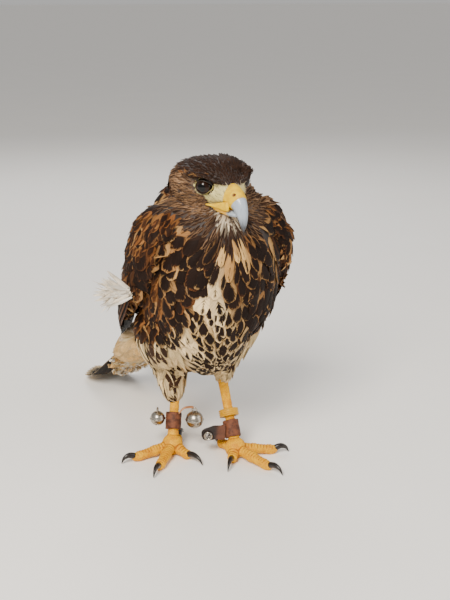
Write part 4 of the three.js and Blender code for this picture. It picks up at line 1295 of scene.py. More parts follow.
# A plane across the bill where the cere ends, further forward at the top
def billPlane(shift):
    ahead = billShape["cereFront"] + shift
    spot = Vector(toFrame(headSpot(0, ahead, 0)))
    return spot, Vector(unit(headAhead - headUp * billShape["cereSlant"]))


def upperBill(swell, front):
    bm = bmesh.new()
    ridge = lambda share, angle: swell - 0.5 * np.abs(np.sin(angle)) * np.maximum(np.cos(angle), 0)
    sweep(
        bm, billShape["line"], billHint, billShape["width"], billShape["over"], billShape["under"],
        ends=(0.02, 0.1), around=80, rows=120, relief=ridge,
    )
    spot, normal = billPlane(0.0)
    geometry = bm.verts[:] + bm.edges[:] + bm.faces[:]
    bmesh.ops.bisect_plane(
        bm, geom=geometry, plane_co=spot, plane_no=normal, clear_inner=front, clear_outer=not front
    )
    bmesh.ops.holes_fill(bm, edges=[e for e in bm.edges if e.is_boundary])
    return bm


nostril = {"ahead": 38.1, "up": -0.6, "radius": 1.6, "depth": 1.6, "rim": 0.25}


def makeCere():
    bm = upperBill(billShape["cereSwell"], False)
    spots = fromFrame([v.co for v in bm.verts])
    aside, ahead, up = inHead(spots)
    away = np.hypot(ahead - nostril["ahead"], 1.2 * (up - nostril["up"])) / nostril["radius"]
    push = nostril["rim"] * ramp(away, 1.8, 1.3) * ramp(away, 0.8, 1.2) - nostril["depth"] * ramp(away, 0.9, 0.2)
    spots = spots + headSide[None] * (np.sign(aside) * push)[:, None]
    for vertex, spot in zip(bm.verts, toFrame(spots)):
        vertex.co = spot
    mesh = meshOf(bm, "cere_skin")
    # The nostril pit's share, read by the cere look to paint shade inside it
    mesh.attributes.new("nostril", "FLOAT", "POINT").data.foreach_set("value", ramp(away, 1.05, 0.6))
    return finished(newObject("cere_skin", mesh), cereLook, "cere", "cere")


# Painted shade: darkens the inside of the nostril pit
def paintNostril(material):
    tree = material.node_tree
    shader = next(node for node in tree.nodes if node.type == "BSDF_PRINCIPLED")
    color = shader.inputs["Base Color"].links[0].from_socket
    inside = addNode(tree, "ShaderNodeAttribute", attribute_name="nostril").outputs["Fac"]
    tree.links.new(mixed(tree, inside, color, color4(tint(104, 48, 14))), shader.inputs["Base Color"])


paintNostril(cereLook)


def makeBillLook():
    material, tree, shader = newMaterial("billHorn")
    place = addNode(tree, "ShaderNodeTexCoord").outputs["Object"]
    tip = Vector(toFrame(headSpot(0, 50.5, -28.5)))
    away = addNode(tree, "ShaderNodeVectorMath", {0: place, 1: tip}, operation="DISTANCE").outputs["Value"]
    streaks = noiseOf(tree, stretched(tree, place, (900, 900, 120)), 1.0, 3.0)
    away = maths(tree, "ADD", away, maths(tree, "MULTIPLY", maths(tree, "SUBTRACT", streaks, 0.5), 0.006))
    color = mixed(tree, ranged(tree, away, 0.003, 0.017), color4(tint(44, 44, 52)), color4(tint(172, 180, 190)))
    color = mixed(tree, ranged(tree, streaks, 0.5, 0.75, 0, 0.35), color, color4(tint(120, 128, 140)))
    ahead = addNode(tree, "ShaderNodeVectorMath", {0: place, 1: Vector(headAhead)}, operation="DOT_PRODUCT")
    base = float(toFrame(headSpot(0, 34, -17)) @ headAhead)
    color = mixed(tree, ranged(tree, ahead.outputs["Value"], base, base - 0.003), color, color4(tint(236, 190, 60)))
    relief = addNode(tree, "ShaderNodeBump", {"Strength": 0.25, "Distance": 0.0003, "Height": streaks})
    tree.links.new(color, shader.inputs["Base Color"])
    tree.links.new(relief.outputs[0], shader.inputs["Normal"])
    shader.inputs["Roughness"].default_value = 0.32
    shader.inputs["Coat Weight"].default_value = 0.3
    return material


billLook = makeBillLook()
makeCere()
finished(newObject("bill_hook", meshOf(upperBill(0.0, True), "bill_hook")), billLook, "bill", "bill_upper")


def makeLowerBill():
    bm = bmesh.new()
    sweep(
        bm, Line(headSpot(0, 14, -18), headSpot(0, 30, -17.5), headSpot(0, 41, -17)), headUp,
        smooth((0, 11), (0.5, 7.2), (1, 3)), smooth((0, 3), (1, 1.6)), smooth((0, 4.4), (0.6, 3.6), (1, 1.8)),
        ends=(0.05, 0.12), around=32, rows=24,
    )
    finished(newObject("bill_under", meshOf(bm, "bill_under")), billLook, "bill", "bill_lower")


makeLowerBill()


# The yellow flange along the mouth
def makeGape():
    bm = bmesh.new()
    for side in (-1, 1):
        line = Line(
            headSpot(side * 14.6, 16, -15.6), headSpot(side * 12.4, 20, -15), headSpot(side * 10.2, 25, -13.9),
            headSpot(side * 8.2, 30, -12.8), headSpot(side * 6.4, 36, -11),
        )
        sweep(
            bm, line, headUp, smooth((0, 0.7), (0.5, 1.3), (1, 1.5)),
            smooth((0, 0.6), (0.3, 1.3), (0.6, 2.8), (1, 4.0)), ends=(0.08, 0.1), around=20, rows=32,
        )
    finished(newObject("gape_flange", meshOf(bm, "gape_flange")), cereLook, "cere")


makeGape()


# Pale bristles over the lores and round the cere
def makeBristles():
    aside, ahead, up = inHead(faceMiddle)
    mask = bare & (np.minimum(lidShare(faceMiddle, 1), lidShare(faceMiddle, -1)) > 1.05) & (ahead < 40)
    fromEye = lambda spots, normals: unit(eyeSpot(-1) * (spots @ headSide < headMiddle @ headSide)[:, None]
                                          + eyeSpot(1) * (spots @ headSide >= headMiddle @ headSide)[:, None] - spots)
    lie = lambda spots, normals: unit(fromEye(spots, normals) * 0.6 + headUp * 0.8)

    def marks(spots, normals, draw):
        dark = (draw.random(len(spots)) < 0.3)[:, None]
        main = np.where(dark, shades["cheek"], shades["chin"])
        return main, main, 1.2, 1.2, 0.0

    style = {
        "rows": rowSets["small"], "outline": outlines["wisp"], "roll": 0.2, "camber": 0.1, "thick": 0.12,
        "stray": 0.35,
    }
    coat(
        "bristles", mask, lambda s: 1.25 + 0 * s[:, 0], 15, style, lambda s: 3.6 + 0 * s[:, 0],
        lambda s, l: 0.11 + 0 * l, lambda s, l: 1.1 + 0 * l, 0.6, marks, headLook, bodyAxis, lie,
    )


makeBristles()

def makeEyes():
    bm = bmesh.new()
    lids = bmesh.new()
    for side in (-1, 1):
        facing = Vector(eyeFacing(side))
        middle = Vector(eyeSpot(side))
        made = bmesh.ops.create_uvsphere(bm, u_segments=48, v_segments=32, radius=1)["verts"]
        turn = facing.to_track_quat("Z", "Y")
        layer = bm.loops.layers.uv.get("Iris") or bm.loops.layers.uv.new("Iris")
        heights = {vertex: vertex.co.z for vertex in made}
        for vertex in made:
            for loop in vertex.link_loops:
                angle = math.atan2(vertex.co.y, vertex.co.x)
                loop[layer].uv = (angle / (2 * math.pi) + 0.5, math.acos(max(-1, min(1, heights[vertex]))) / math.pi)
        for vertex in made:
            bulge = 1 + 0.05 * max(0, (heights[vertex] - 0.72) / 0.28)
            vertex.co = toFrame(middle + turn @ (vertex.co * eyeSize["radius"] * bulge))
        makeLids(lids, side)
    mesh = meshOf(bm, "eyes")
    finished(newObject("eyes", mesh), makeEyeLook(), "eyes", "eye_right", "eye_left")
    finished(newObject("eyelids", meshOf(lids, "eyelids")), makeLidLook(), "cere")


# Lids: rings from inside the ball over a raised rim and out under the skin; a ring attribute carries painted shade at
# the inner margin and over the upper lid
def makeLids(bm, side):
    front, upward, out = eyeAxes(side)
    middle = eyeSpot(side)
    layer = bm.verts.layers.float_color.get("ring") or bm.verts.layers.float_color.new("ring")
    steps, rings = 64, lid["rings"]
    rows = []
    for ring in range(rings):
        share = ring / (rings - 1)
        row = []
        for i in range(steps):
            angle = 2 * math.pi * i / steps
            corner = max(math.cos(angle), 0) ** 6 * lid["corner"]
            band = lid["band"] * (share - 0.12)
            flat = np.array([
                math.cos(angle) * (lid["halfWide"] + corner + band), math.sin(angle) * (lid["halfHigh"] + band)
            ])
            away = np.hypot(*flat)
            onBall = math.sqrt(max(eyeSize["radius"] ** 2 - min(away, 6.3) ** 2, 0)) - 0.35 * max(away - 6.3, 0)
            place = middle + front * flat[0] + upward * flat[1]
            hit = skinTree.ray_cast(Vector(place + out * 14), Vector(-out))[0]
            onSkin = (np.array(hit) - middle) @ out if hit else onBall
            level = blendTo(onBall + (0.2 if share > 0 else -0.6), onSkin - 0.5, ramp(share, 0.45, 1.0))
            level = level + lid["rim"] * math.sin(math.pi * min(share * 1.25, 1))
            vertex = bm.verts.new(toFrame(place + out * level))
            # Painted shade: the inner rows, where the lid turns in to the ball, and the upper lid are kept dark
            shade = min(share, 1 - 0.9 * max(0, min(1, 1.6 * math.sin(angle + 0.35))))
            vertex[layer] = (shade, shade, shade, 1)
            row.append(vertex)
        rows.append(row)
    for near, far in zip(rows, rows[1:]):
        for i in range(steps):
            bm.faces.new((near[i], near[(i + 1) % steps], far[(i + 1) % steps], far[i]))


def makeLidLook():
    material, tree, shader = newMaterial("lid")
    place = addNode(tree, "ShaderNodeTexCoord").outputs["Object"]
    ring = addNode(tree, "ShaderNodeAttribute", attribute_name="ring").outputs["Fac"]
    soft = noiseOf(tree, place, 500.0)
    pale = mixed(tree, soft, color4(tint(176, 164, 96)), color4(tint(222, 210, 140)))
    # The dark colour is painted shade, laid where the ring attribute is low
    color = mixed(tree, ranged(tree, ring, 0.3, 0.5), color4(tint(52, 42, 30)), pale)
    relief = addNode(tree, "ShaderNodeBump", {"Strength": 0.4, "Distance": 0.0002, "Height": soft})
    tree.links.new(color, shader.inputs["Base Color"])
    tree.links.new(relief.outputs[0], shader.inputs["Normal"])
    shader.inputs["Roughness"].default_value = 0.45
    return material


def makeEyeLook():
    material, tree, shader = newMaterial("hawkEye")
    uv = addNode(tree, "ShaderNodeUVMap", uv_map="Iris").outputs[0]
    parts = addNode(tree, "ShaderNodeSeparateXYZ", {0: uv})
    spokes = noiseOf(tree, stretched(tree, uv, (60, 6, 1)), 1.0, 4.0)
    iris = mixed(tree, spokes, color4(tint(22, 14, 10)), color4(tint(64, 40, 24)))
    color = mixed(tree, ranged(tree, parts.outputs[1], 0.14, 0.152), (0.002, 0.002, 0.002, 1), iris)
    color = mixed(tree, ranged(tree, parts.outputs[1], 0.26, 0.3), color, color4(tint(22, 16, 14)))
    tree.links.new(color, shader.inputs["Base Color"])
    shader.inputs["Roughness"].default_value = 0.12
    shader.inputs["Specular IOR Level"].default_value = 0.1
    shader.inputs["Coat Weight"].default_value = 0.7
    shader.inputs["Coat IOR"].default_value = 1.3
    shader.inputs["Coat Roughness"].default_value = 0.02
    return material


makeEyes()

# Legs: tarsus, foot and toes as one skin with raised scutes, then the claws
legs = {
    "right": {
        "foot": (-33, -4), "heel": (-15, 32),
        "toes": [(13, 20, 25), (9, -21, 22), (-24, -32, 18), (-39, -5, 15)],
    },
    "left": {
        "foot": (16, -31), "heel": (17, 14),
        "toes": [(-6, 25, 25), (-10, -15, 22), (17, -40, 18), (37, -9, 15)],
    },
}
toeNames = ("hallux", "inner", "middle", "outer")
legSize = {
    "heelHeight": 81, "ballHeight": 8, "tarsus": 4.4, "footRadius": 9.3, "toeRadius": 4.8,
    "scute": 1.0, "voxel": 0.0005,
}


def makeLegLook():
    material, tree, shader = newMaterial("legSkin")
    place = addNode(tree, "ShaderNodeTexCoord").outputs["Object"]
    crease = addNode(tree, "ShaderNodeAttribute", attribute_name="crease").outputs["Fac"]
    soft = noiseOf(tree, place, 170.0)
    cells = addNode(tree, "ShaderNodeTexVoronoi", {"Vector": place, "Scale": 560.0}, feature="DISTANCE_TO_EDGE")
    edges = ranged(tree, cells.outputs[0], 0.0, 0.16)
    color = mixed(tree, ranged(tree, soft, 0.3, 0.7), color4(tint(216, 158, 0)), color4(tint(236, 188, 0)))
    # Painted shade: the leg colour darkened in the creases and along the scale edges, where the relief is low
    paintedShade = mixed(tree, 1.0, color, (0.5, 0.36, 0.24, 1), "MULTIPLY")
    color = mixed(tree, crease, color, paintedShade)
    color = mixed(tree, ranged(tree, edges, 0, 1, 0.35, 0.0), color, paintedShade)
    relief = addNode(tree, "ShaderNodeBump", {"Strength": 0.5, "Distance": 0.0004, "Height": edges})
    tree.links.new(color, shader.inputs["Base Color"])
    tree.links.new(relief.outputs[0], shader.inputs["Normal"])
    tree.links.new(ranged(tree, soft, 0.2, 0.8, 0.42, 0.58), shader.inputs["Roughness"])
    shader.inputs["Specular IOR Level"].default_value = 0.2
    return material


legLook = makeLegLook()


# How deep each place lies in a crease, from the turn of the surface round it; the leg colour is darkened there as
# painted shade
def markCreases(mesh):
    count = len(mesh.vertices)
    spots = np.zeros(count * 3)
    normals = np.zeros(count * 3)
    ends = np.zeros(len(mesh.edges) * 2, int)
    mesh.vertices.foreach_get("co", spots)
    mesh.vertex_normals.foreach_get("vector", normals)
    mesh.edges.foreach_get("vertices", ends)
    spots, normals, ends = spots.reshape(-1, 3), normals.reshape(-1, 3), ends.reshape(-1, 2)
    both = np.concatenate([ends, ends[:, ::-1]])
    counts = np.maximum(np.bincount(both[:, 0], minlength=count), 1)
    spread = lambda values: np.bincount(both[:, 0], weights=values[both[:, 1]], minlength=count) / counts
    around = np.column_stack([spread(axis) for axis in spots.T])
    rise = np.sum((around - spots) * normals, axis=1) / mm
    for _ in range(3):
        rise = 0.4 * rise + 0.6 * spread(rise)
    share = ramp(rise, 0.002, 0.018)
    data = mesh.color_attributes.new("crease", "FLOAT_COLOR", "POINT").data
    data.foreach_set("color", np.column_stack([share, share, share, np.ones(count)]).ravel())




def makeClawLook():
    material, tree, shader = newMaterial("claw")
    place = addNode(tree, "ShaderNodeTexCoord").outputs["Object"]
    streaks = noiseOf(tree, place, 500.0)
    color = mixed(tree, streaks, color4(tint(24, 20, 19)), color4(tint(62, 52, 48)))
    tree.links.new(color, shader.inputs["Base Color"])
    relief = addNode(tree, "ShaderNodeBump", {"Strength": 0.2, "Distance": 0.0002, "Height": streaks})
    tree.links.new(relief.outputs[0], shader.inputs["Normal"])
    shader.inputs["Roughness"].default_value = 0.28
    return material


clawLook = makeClawLook()


def toeLine(foot, reach):
    x, y = foot
    dx, dy = reach
    return Line(
        (x, y, legSize["ballHeight"]), (x + dx * 0.45, y + dy * 0.45, legSize["ballHeight"] - 2),
        (x + dx, y + dy, legSize["toeRadius"] - 1),
    )


def makeLeg(side):
    leg = legs[side]
    foot, heel = leg["foot"], leg["heel"]
    bm = bmesh.new()
    tarsus = Line((*heel, legSize["heelHeight"]), (*foot, legSize["ballHeight"]))
    thin = smooth((0, 5.5), (0.3, 4.4), (0.8, legSize["tarsus"]), (1, 5.4))
    shields = lambda share, angle: 0.5 * np.abs(np.sin(share * 44)) ** 0.6 * ramp(np.abs(angle), 1.5, 0.9)
    sweep(bm, tarsus, (0, -1, 0), thin, thin, ends=(0.05, 0.02), around=32, rows=120, relief=shields)
    ball = bmesh.ops.create_uvsphere(bm, u_segments=32, v_segments=24, radius=legSize["footRadius"] * mm)["verts"]
    bmesh.ops.translate(bm, verts=ball, vec=Vector(toFrame((*foot, legSize["ballHeight"]))))
    for dx, dy, _ in leg["toes"]:
        length = math.hypot(dx, dy)
        count = round(length / 2.7)

        def scutes(share, angle, count=count):
            top = ramp(np.abs(angle), 1.4, 0.8)
            plates = np.abs(np.sin(share * math.pi * count)) ** 0.7
            joints = np.maximum(np.sin(share * math.pi * 5.4 + 0.4), 0) - 0.4
            return legSize["scute"] * (plates - 0.75) * top + 0.5 * joints * ramp(share, 0.1, 0.3)

        sweep(
            bm, toeLine(foot, (dx, dy)), (0, 0, 1), smooth((0, 5.2), (0.4, 4.6), (0.7, 4.4), (1, 3.5)),
            smooth((0, 5.2), (0.4, 4.5), (1, 3.5)), lambda s: 4.5 + 0 * s, ends=(0.1, 0.14),
            around=28, rows=80, relief=scutes,
        )
    made = newObject("leg_skin_" + side, meshOf(bm, "leg_skin_" + side))
    remesh = made.modifiers.new("fuse", "REMESH")
    remesh.mode = "VOXEL"
    remesh.voxel_size = legSize["voxel"]
    even = made.modifiers.new("even", "SMOOTH")
    even.iterations = 1
    withModifiers(made)
    for vertex in made.data.vertices:
        vertex.co.z = max(vertex.co.z, 0.0)
    markCreases(made.data)
    made.data.shade_smooth()
    names = ["tarsus_" + side, "foot_" + side] + ["toe_" + side + "_" + name for name in toeNames]
    finished(made, legLook, "leg_skin", *names)
    for name, (dx, dy, claw) in zip(toeNames, leg["toes"]):
        ahead = np.array([dx, dy, 0]) / math.hypot(dx, dy)
        start = np.array([foot[0] + dx, foot[1] + dy, legSize["toeRadius"] + 0.4]) - ahead * 3
        places = [start] + [
            np.array([*(start + ahead * out * claw)[:2], height])
            for out, height in ((0.35, 7), (0.66, 5.4), (0.84, 1.0))
        ]
        bm = bmesh.new()
        sweep(
            bm, Line(*places), (0, 0, 1), smooth((0, 2.6), (0.4, 2.1), (1, 0.25)),
            smooth((0, 2.9), (0.4, 2.4), (1, 0.3)), ends=(0.05, 0.02), around=24, rows=32,
        )
        node = "claw_" + side + "_" + name
        finished(newObject("talon_" + side + "_" + name, meshOf(bm, node)), clawLook, "claws", node)


makeLeg("right")
makeLeg("left")
print("legs and head made")

# What the bird wears: anklets, flap, grommet, band, strap and bells
leatherLook = spottedLook("leather", tint(88, 56, 42), tint(134, 90, 66), 220.0, 0.65, 0.8, 420.0)


def makeFlapLook():
    material, tree, shader = newMaterial("flapLeather")
    place = addNode(tree, "ShaderNodeTexCoord").outputs["Object"]
    reach = addNode(tree, "ShaderNodeAttribute", attribute_name="reach").outputs["Fac"]
    soft = noiseOf(tree, place, 260.0)
    brown = mixed(tree, soft, color4(tint(88, 56, 42)), color4(tint(134, 90, 66)))
    dark = mixed(tree, soft, color4(tint(30, 24, 24)), color4(tint(62, 48, 44)))
    edge = maths(tree, "ADD", reach, maths(tree, "MULTIPLY", maths(tree, "SUBTRACT", soft, 0.5), 0.4))
    relief = addNode(tree, "ShaderNodeBump", {"Strength": 0.7, "Distance": 0.0003, "Height": soft})
    tree.links.new(mixed(tree, ranged(tree, edge, 0.5, 0.8), dark, brown), shader.inputs["Base Color"])
    tree.links.new(relief.outputs[0], shader.inputs["Normal"])
    shader.inputs["Roughness"].default_value = 0.6
    return material


strapLook = spottedLook("strapLeather", tint(168, 122, 88), tint(206, 164, 128), 140.0, 0.6, 0.6, 420.0)
bandLook = spottedLook("bandPlastic", tint(198, 154, 0), tint(212, 172, 0), 90.0, 0.35, 0.05, 300.0, 0.2)


def makeMetalLook():
    material, tree, shader = newMaterial("bellNickel")
    place = addNode(tree, "ShaderNodeTexCoord").outputs["Object"]
    scuffs = noiseOf(tree, stretched(tree, place, (1, 1, 3)), 420.0, 5.0)
    color = mixed(tree, ranged(tree, scuffs, 0.45, 0.7), color4(tint(190, 184, 174)), color4(tint(120, 108, 92)))
    tree.links.new(color, shader.inputs["Base Color"])
    tree.links.new(ranged(tree, scuffs, 0.3, 0.8, 0.2, 0.45), shader.inputs["Roughness"])
    relief = addNode(tree, "ShaderNodeBump", {"Strength": 0.12, "Distance": 0.0002, "Height": scuffs})
    tree.links.new(relief.outputs[0], shader.inputs["Normal"])
    shader.inputs["Metallic"].default_value = 1.0
    return material


metalLook = makeMetalLook()


def legLineOf(side):
    return Line((*legs[side]["heel"], legSize["heelHeight"]), (*legs[side]["foot"], legSize["ballHeight"]))


# A lathe-turned piece round a line, from [radius, height] stops
def spun(bm, profile, start, toward, steps=48):
    axis = Vector(unit(np.array(toward) - np.array(start)))
    turn = axis.to_track_quat("Z", "Y")
    first = [bm.verts.new((radius * mm, 0, height * mm)) for radius, height in profile]
    edges = [bm.edges.new((a, b)) for a, b in zip(first, first[1:])]
    made = bmesh.ops.spin(
        bm, geom=first + edges, cent=(0, 0, 0), axis=(0, 0, 1), angle=2 * math.pi, steps=steps, use_merge=True
    )
    verts = list({vertex for vertex in bm.verts if vertex.is_valid and not vertex.tag})
    bmesh.ops.remove_doubles(bm, verts=verts, dist=1e-7)
    verts = [vertex for vertex in bm.verts if not vertex.tag]
    for vertex in verts:
        vertex.co = turn @ vertex.co + Vector(toFrame(start))
        vertex.tag = True
    return verts


def legPlace(side, height):
    span = legSize["heelHeight"] - legSize["ballHeight"]
    return legLineOf(side).at((legSize["heelHeight"] - height) / span)


anklet = {"inner": 5.4, "outer": 7.0, "height": 15.0, "bottoms": {"right": 19.5, "left": 16.0}}


def makeAnklet(side):
    inner, outer, height = anklet["inner"], anklet["outer"], anklet["height"]
    bm = bmesh.new()
    profile = [(inner, 0.3), (inner + 0.4, 0), (outer - 0.4, 0), (outer, 0.5)]
    profile += [(outer - 0.12 * math.sin(i * 1.3), 0.5 + (height - 1) * i / 9) for i in range(1, 9)]
    profile += [(outer, height - 0.5), (outer - 0.4, height), (inner + 0.4, height), (inner, height - 0.3), (inner, 0.3)]
    low = anklet["bottoms"][side]
    spun(bm, profile, legPlace(side, low), legPlace(side, low + 8))
    for vertex in bm.verts:
        wave = noise.noise(vertex.co * 240) * 0.0006
        vertex.co.z += wave
    name = "anklet_" + side
    finished(newObject("anklet_leather_" + side, meshOf(bm, name)), leatherLook, "leather", name)


makeAnklet("right")
makeAnklet("left")

band = {"inner": 6.0, "outer": 8.8, "height": 6.5, "ridges": 2}


def makeBand():
    bm = bmesh.new()
    inner, outer, height = band["inner"], band["outer"], band["height"]
    profile = [(inner, 0.3), (outer - 0.6, 0.0), (outer, 0.5)]
    steps = 24
    for i in range(steps + 1):
        share = i / steps
        ridge = 0.55 * (1 - abs(math.cos(math.pi * share * (band["ridges"] + 1))) ** 0.6)
        profile.append((outer - ridge * 1.1, 0.6 + (height - 1.2) * share))
    profile += [(outer, height - 0.5), (outer - 0.6, height), (inner, height - 0.3), (inner, 0.3)]
    low = anklet["bottoms"]["left"] + anklet["height"] + 0.6
    spun(bm, profile, legPlace("left", low), legPlace("left", low + 8))
    finished(newObject("leg_band_ring", meshOf(bm, "leg_band_ring")), bandLook, "band", "leg_band")


makeBand()

bells = {
    "bell_round": {"place": (-41.4, 10.4, 28.5), "radius": 6.5, "slot": 60},
    "bell_acorn": {"place": (-12.4, -5.4, 28.9), "radius": 7.8, "slot": -22},
}


def makeBell(node):
    bell = bells[node]
    radius, place = bell["radius"], np.array(bell["place"])
    wall, steps = 0.5, 28
    outer = []
    for i in range(steps + 1):
        angle = -math.pi / 2 + math.pi * i / steps
        rim = 0.6 * max(0, 1 - abs(i - steps / 2) / 1.2)
        outer.append((max(radius * math.cos(angle) + rim, 0), radius * math.sin(angle)))
    inner = [(max((radius - wall) * math.cos(a), 0), (radius - wall) * math.sin(a)) for a in
             (math.pi / 2 - math.pi * i / steps for i in range(steps + 1))]
    bm = bmesh.new()
    spun(bm, outer, place, place + (0, 0, 1), 40)
    spun(bm, inner, place, place + (0, 0, 1), 40)
    made = newObject(node + "_shell", meshOf(bm, node))
    cut = bmesh.new()
    turn = Matrix.Rotation(math.radians(bell["slot"]), 4, "Z")
    bmesh.ops.create_cube(cut, size=1, matrix=Matrix.Diagonal((radius * 1.5 * mm, 0.0013, radius * 0.9 * mm, 1)))
    for end in (-1, 1):
        spot = Matrix.Translation((end * radius * 0.62 * mm, 0, 0))
        bmesh.ops.create_cone(cut, cap_ends=True, segments=20, radius1=0.0013, radius2=0.0013,
                              depth=radius * 0.9 * mm, matrix=spot)
    bmesh.ops.transform(cut, matrix=turn, verts=cut.verts)
    bmesh.ops.translate(cut, vec=Vector(toFrame(place - (0, 0, radius * 0.8))), verts=cut.verts)
    cutter = newObject(node + "_slot", meshOf(cut, node + "_slot"))
    slot = made.modifiers.new("slot", "BOOLEAN")
    slot.operation = "DIFFERENCE"
    slot.object = cutter
    slot.solver = "EXACT"
    slot.use_self = True
    withModifiers(made)
    bpy.data.objects.remove(cutter)
    finished(made, metalLook, "bell_metal", node)
    loop = bmesh.new()
    ringSteps = 20
    circle = bmesh.ops.create_circle(loop, segments=12, radius=0.7 * mm)["verts"]
    bmesh.ops.rotate(loop, verts=circle, cent=(0, 0, 0), matrix=Matrix.Rotation(math.pi / 2, 3, "X"))
    bmesh.ops.translate(loop, verts=circle, vec=(1.9 * mm, 0, 0))
    bmesh.ops.spin(loop, geom=loop.verts[:] + loop.edges[:], cent=(0, 0, 0), axis=(0, 0, 1), angle=2 * math.pi,
                   steps=ringSteps, use_merge=True)
    bmesh.ops.rotate(loop, verts=loop.verts, cent=(0, 0, 0), matrix=Matrix.Rotation(math.pi / 2, 3, "X"))
    bmesh.ops.transform(loop, matrix=turn, verts=loop.verts)
    bmesh.ops.translate(loop, vec=Vector(toFrame(place + (0, 0, radius + 1.2))), verts=loop.verts)
    finished(newObject(node + "_loop", meshOf(loop, node + "_loop")), metalLook, "bell_metal")


for bellNode in bells:
    makeBell(bellNode)


def makeStrap():
    bm = bmesh.new()
    top = bells["bell_acorn"]["place"][2] + bells["bell_acorn"]["radius"] + 2.4
    line = Line((-25, 1, 34), (-20.5, -1.5, 39.5), (-16, -4, top + 1.6), (-12.9, -5.4, top + 1.4))
    sweep(bm, line, (0, 0, 1), lambda s: 2.2 + 0 * s, lambda s: 0.7 + 0 * s, around=16, rows=40)
    finished(newObject("strap_leather", meshOf(bm, "strap_leather")), strapLook, "strap", "bell_strap")


makeStrap()

flap = {
    "place": (-1.5, -23, 20), "length": 21.0, "height": 13.0, "thickness": 2.0, "turn": -22,
    "eyelet": (-4.5, -1.0), "hole": 3.35, "rim": 4.0,
}


def placeFlap(bm):
    bmesh.ops.rotate(bm, verts=bm.verts, cent=(0, 0, 0), matrix=Matrix.Rotation(math.pi / 2, 3, "X"))
    bmesh.ops.rotate(
        bm, verts=bm.verts, cent=(0, 0, 0), matrix=Matrix.Rotation(math.radians(flap["turn"]), 3, "Z")
    )
    bmesh.ops.translate(bm, verts=bm.verts, vec=Vector(toFrame(flap["place"])))


def makeFlap():
    bm = bmesh.new()
    halfLong, halfHigh = flap["length"] / 2 * mm, flap["height"] / 2 * mm
    hx, hy = (value * mm for value in flap["eyelet"])
    steps = 64
    inner, outer = [], []
    for i in range(steps):
        angle = 2 * math.pi * i / steps
        dx, dy = math.cos(angle), math.sin(angle)
        reach = min(
            (halfLong - hx) / dx if dx > 1e-6 else 1, (-halfLong - hx) / dx if dx < -1e-6 else 1,
            (halfHigh - hy) / dy if dy > 1e-6 else 1, (-halfHigh - hy) / dy if dy < -1e-6 else 1,
        )
        inner.append(bm.verts.new((hx + dx * flap["hole"] * mm, hy + dy * flap["hole"] * mm, 0)))
        outer.append(bm.verts.new((hx + dx * reach, hy + dy * reach, 0)))
    for i in range(steps):
        bm.faces.new((inner[i], outer[i], outer[(i + 1) % steps], inner[(i + 1) % steps]))
    bmesh.ops.subdivide_edges(bm, edges=[e for e in bm.edges if len(e.link_faces) == 2], cuts=6, use_grid_fill=True)
    thick = bmesh.ops.solidify(bm, geom=bm.faces[:], thickness=flap["thickness"] * mm)
    bmesh.ops.translate(bm, verts=bm.verts, vec=(0, 0, -flap["thickness"] / 2 * mm))
    layer = bm.verts.layers.float_color.new("reach")
    for vertex in bm.verts:
        share = (vertex.co.x + halfLong) / (2 * halfLong)
        away = math.hypot(vertex.co.x - hx, vertex.co.y - hy) / (flap["rim"] * mm)
        free = min(max(away - 1.1, 0), 1)
        narrow = 0.66 + 0.46 * share
        if share < 0.14:
            narrow *= math.sqrt(max(1 - ((0.14 - share) / 0.14) ** 2, 0.12))
        lift = (0.0022 * share**2 - 0.0006 * math.sin(share * 9)) * free
        vertex.co.z += 0.0005 * math.sin(share * 7 + vertex.co.y * 300) * free
        vertex.co.y = vertex.co.y * (1 + (narrow - 1) * free) + lift
        vertex[layer] = (share, share, share, 1)
    placeFlap(bm)
    made = newObject("flap_leather", meshOf(bm, "flap_leather"))
    bevel = made.modifiers.new("edge", "BEVEL")
    bevel.width, bevel.segments, bevel.limit_method = 0.0005, 3, "ANGLE"
    withModifiers(made)
    finished(made, makeFlapLook(), "leather", "anklet_left_flap")
    ring = bmesh.new()
    radius, rim, lip = 2.2, flap["rim"], flap["thickness"] / 2 + 0.35
    profile = [(radius, -lip + 0.2), (radius + 0.6, -lip - 0.7), (rim - 0.4, -lip - 0.4), (rim, -lip),
               (radius + 0.8, -lip), (radius + 0.8, lip), (rim, lip), (rim - 0.4, lip + 0.4),
               (radius + 0.6, lip + 0.7), (radius, lip - 0.2), (radius, -lip + 0.2)]
    first = [ring.verts.new((r * mm, 0, h * mm)) for r, h in profile]
    edges = [ring.edges.new((a, b)) for a, b in zip(first, first[1:])]
    bmesh.ops.spin(ring, geom=first + edges, cent=(0, 0, 0), axis=(0, 0, 1), angle=2 * math.pi, steps=40,
                   use_merge=True)
    bmesh.ops.remove_doubles(ring, verts=ring.verts, dist=1e-7)
    bmesh.ops.translate(ring, verts=ring.verts, vec=(hx, hy, 0))
    placeFlap(ring)
    finished(newObject("grommet_ring", meshOf(ring, "grommet_ring")), metalLook, "bell_metal", "grommet")


makeFlap()
print("leather and bells made")

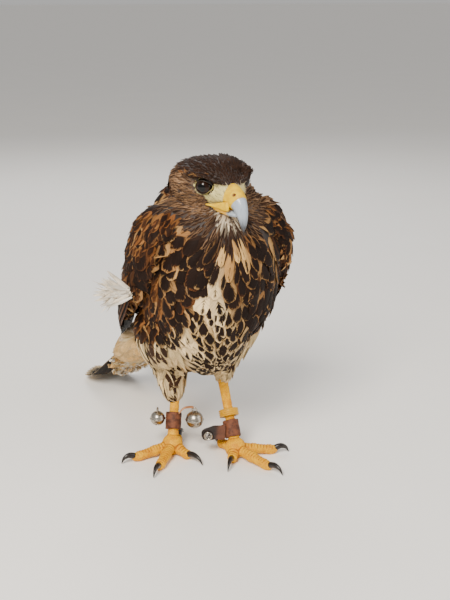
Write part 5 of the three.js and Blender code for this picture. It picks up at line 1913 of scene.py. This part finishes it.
# Floor, light and camera
stage = {"floor": 80.0, "floorColor": tint(240, 238, 234), "sky": 0.5}


def makeStage():
    bm = bmesh.new()
    bmesh.ops.create_grid(bm, x_segments=8, y_segments=8, size=stage["floor"] / 2)
    floor = newObject("floor", meshOf(bm, "floor"))
    material, tree, shader = newMaterial("floorPale")
    place = addNode(tree, "ShaderNodeTexCoord").outputs["Object"]
    soft = noiseOf(tree, place, 6.0)
    color = mixed(tree, soft, color4(stage["floorColor"]), color4(tint(243, 241, 238)))
    tree.links.new(color, shader.inputs["Base Color"])
    shader.inputs["Roughness"].default_value = 0.85
    floor.data.materials.append(material)
    world = bpy.data.worlds.new("studio")
    world.use_nodes = True
    scene.world = world
    background = world.node_tree.nodes["Background"]
    background.inputs["Color"].default_value = (1.0, 0.985, 0.97, 1)
    background.inputs["Strength"].default_value = stage["sky"]


lamps = {
    "key": {"from": (-0.75, -0.95, 1.15), "power": 36.0, "size": 0.6, "color": (1.0, 0.94, 0.85)},
    "fill": {"from": (1.1, -0.8, 0.6), "power": 7.0, "size": 1.2, "color": (1.0, 0.97, 0.92)},
    "rim": {"from": (0.3, 1.2, 1.1), "power": 9.0, "size": 0.8, "color": (1.0, 1.0, 1.0)},
}


def makeLamps():
    aim = Vector((0, 0, 0.14))
    for name, lamp in lamps.items():
        data = bpy.data.lights.new(name, "AREA")
        data.energy, data.size, data.color = lamp["power"], lamp["size"], lamp["color"]
        made = newObject(name, data)
        made.location = lamp["from"]
        made.rotation_euler = (aim - Vector(lamp["from"])).to_track_quat("-Z", "Y").to_euler()


view = {"place": (-292, -769, 387.5), "pitch": 17, "turn": -22, "lens": 60}


def makeCamera():
    data = bpy.data.cameras.new("camera")
    data.lens, data.sensor_width = view["lens"], 36
    data.clip_start, data.clip_end = 0.01, 200
    camera = newObject("camera", data)
    camera.location = toFrame(view["place"])
    camera.rotation_euler = (math.radians(90 - view["pitch"]), 0, math.radians(view["turn"]))
    scene.camera = camera


makeStage()
makeLamps()
makeCamera()
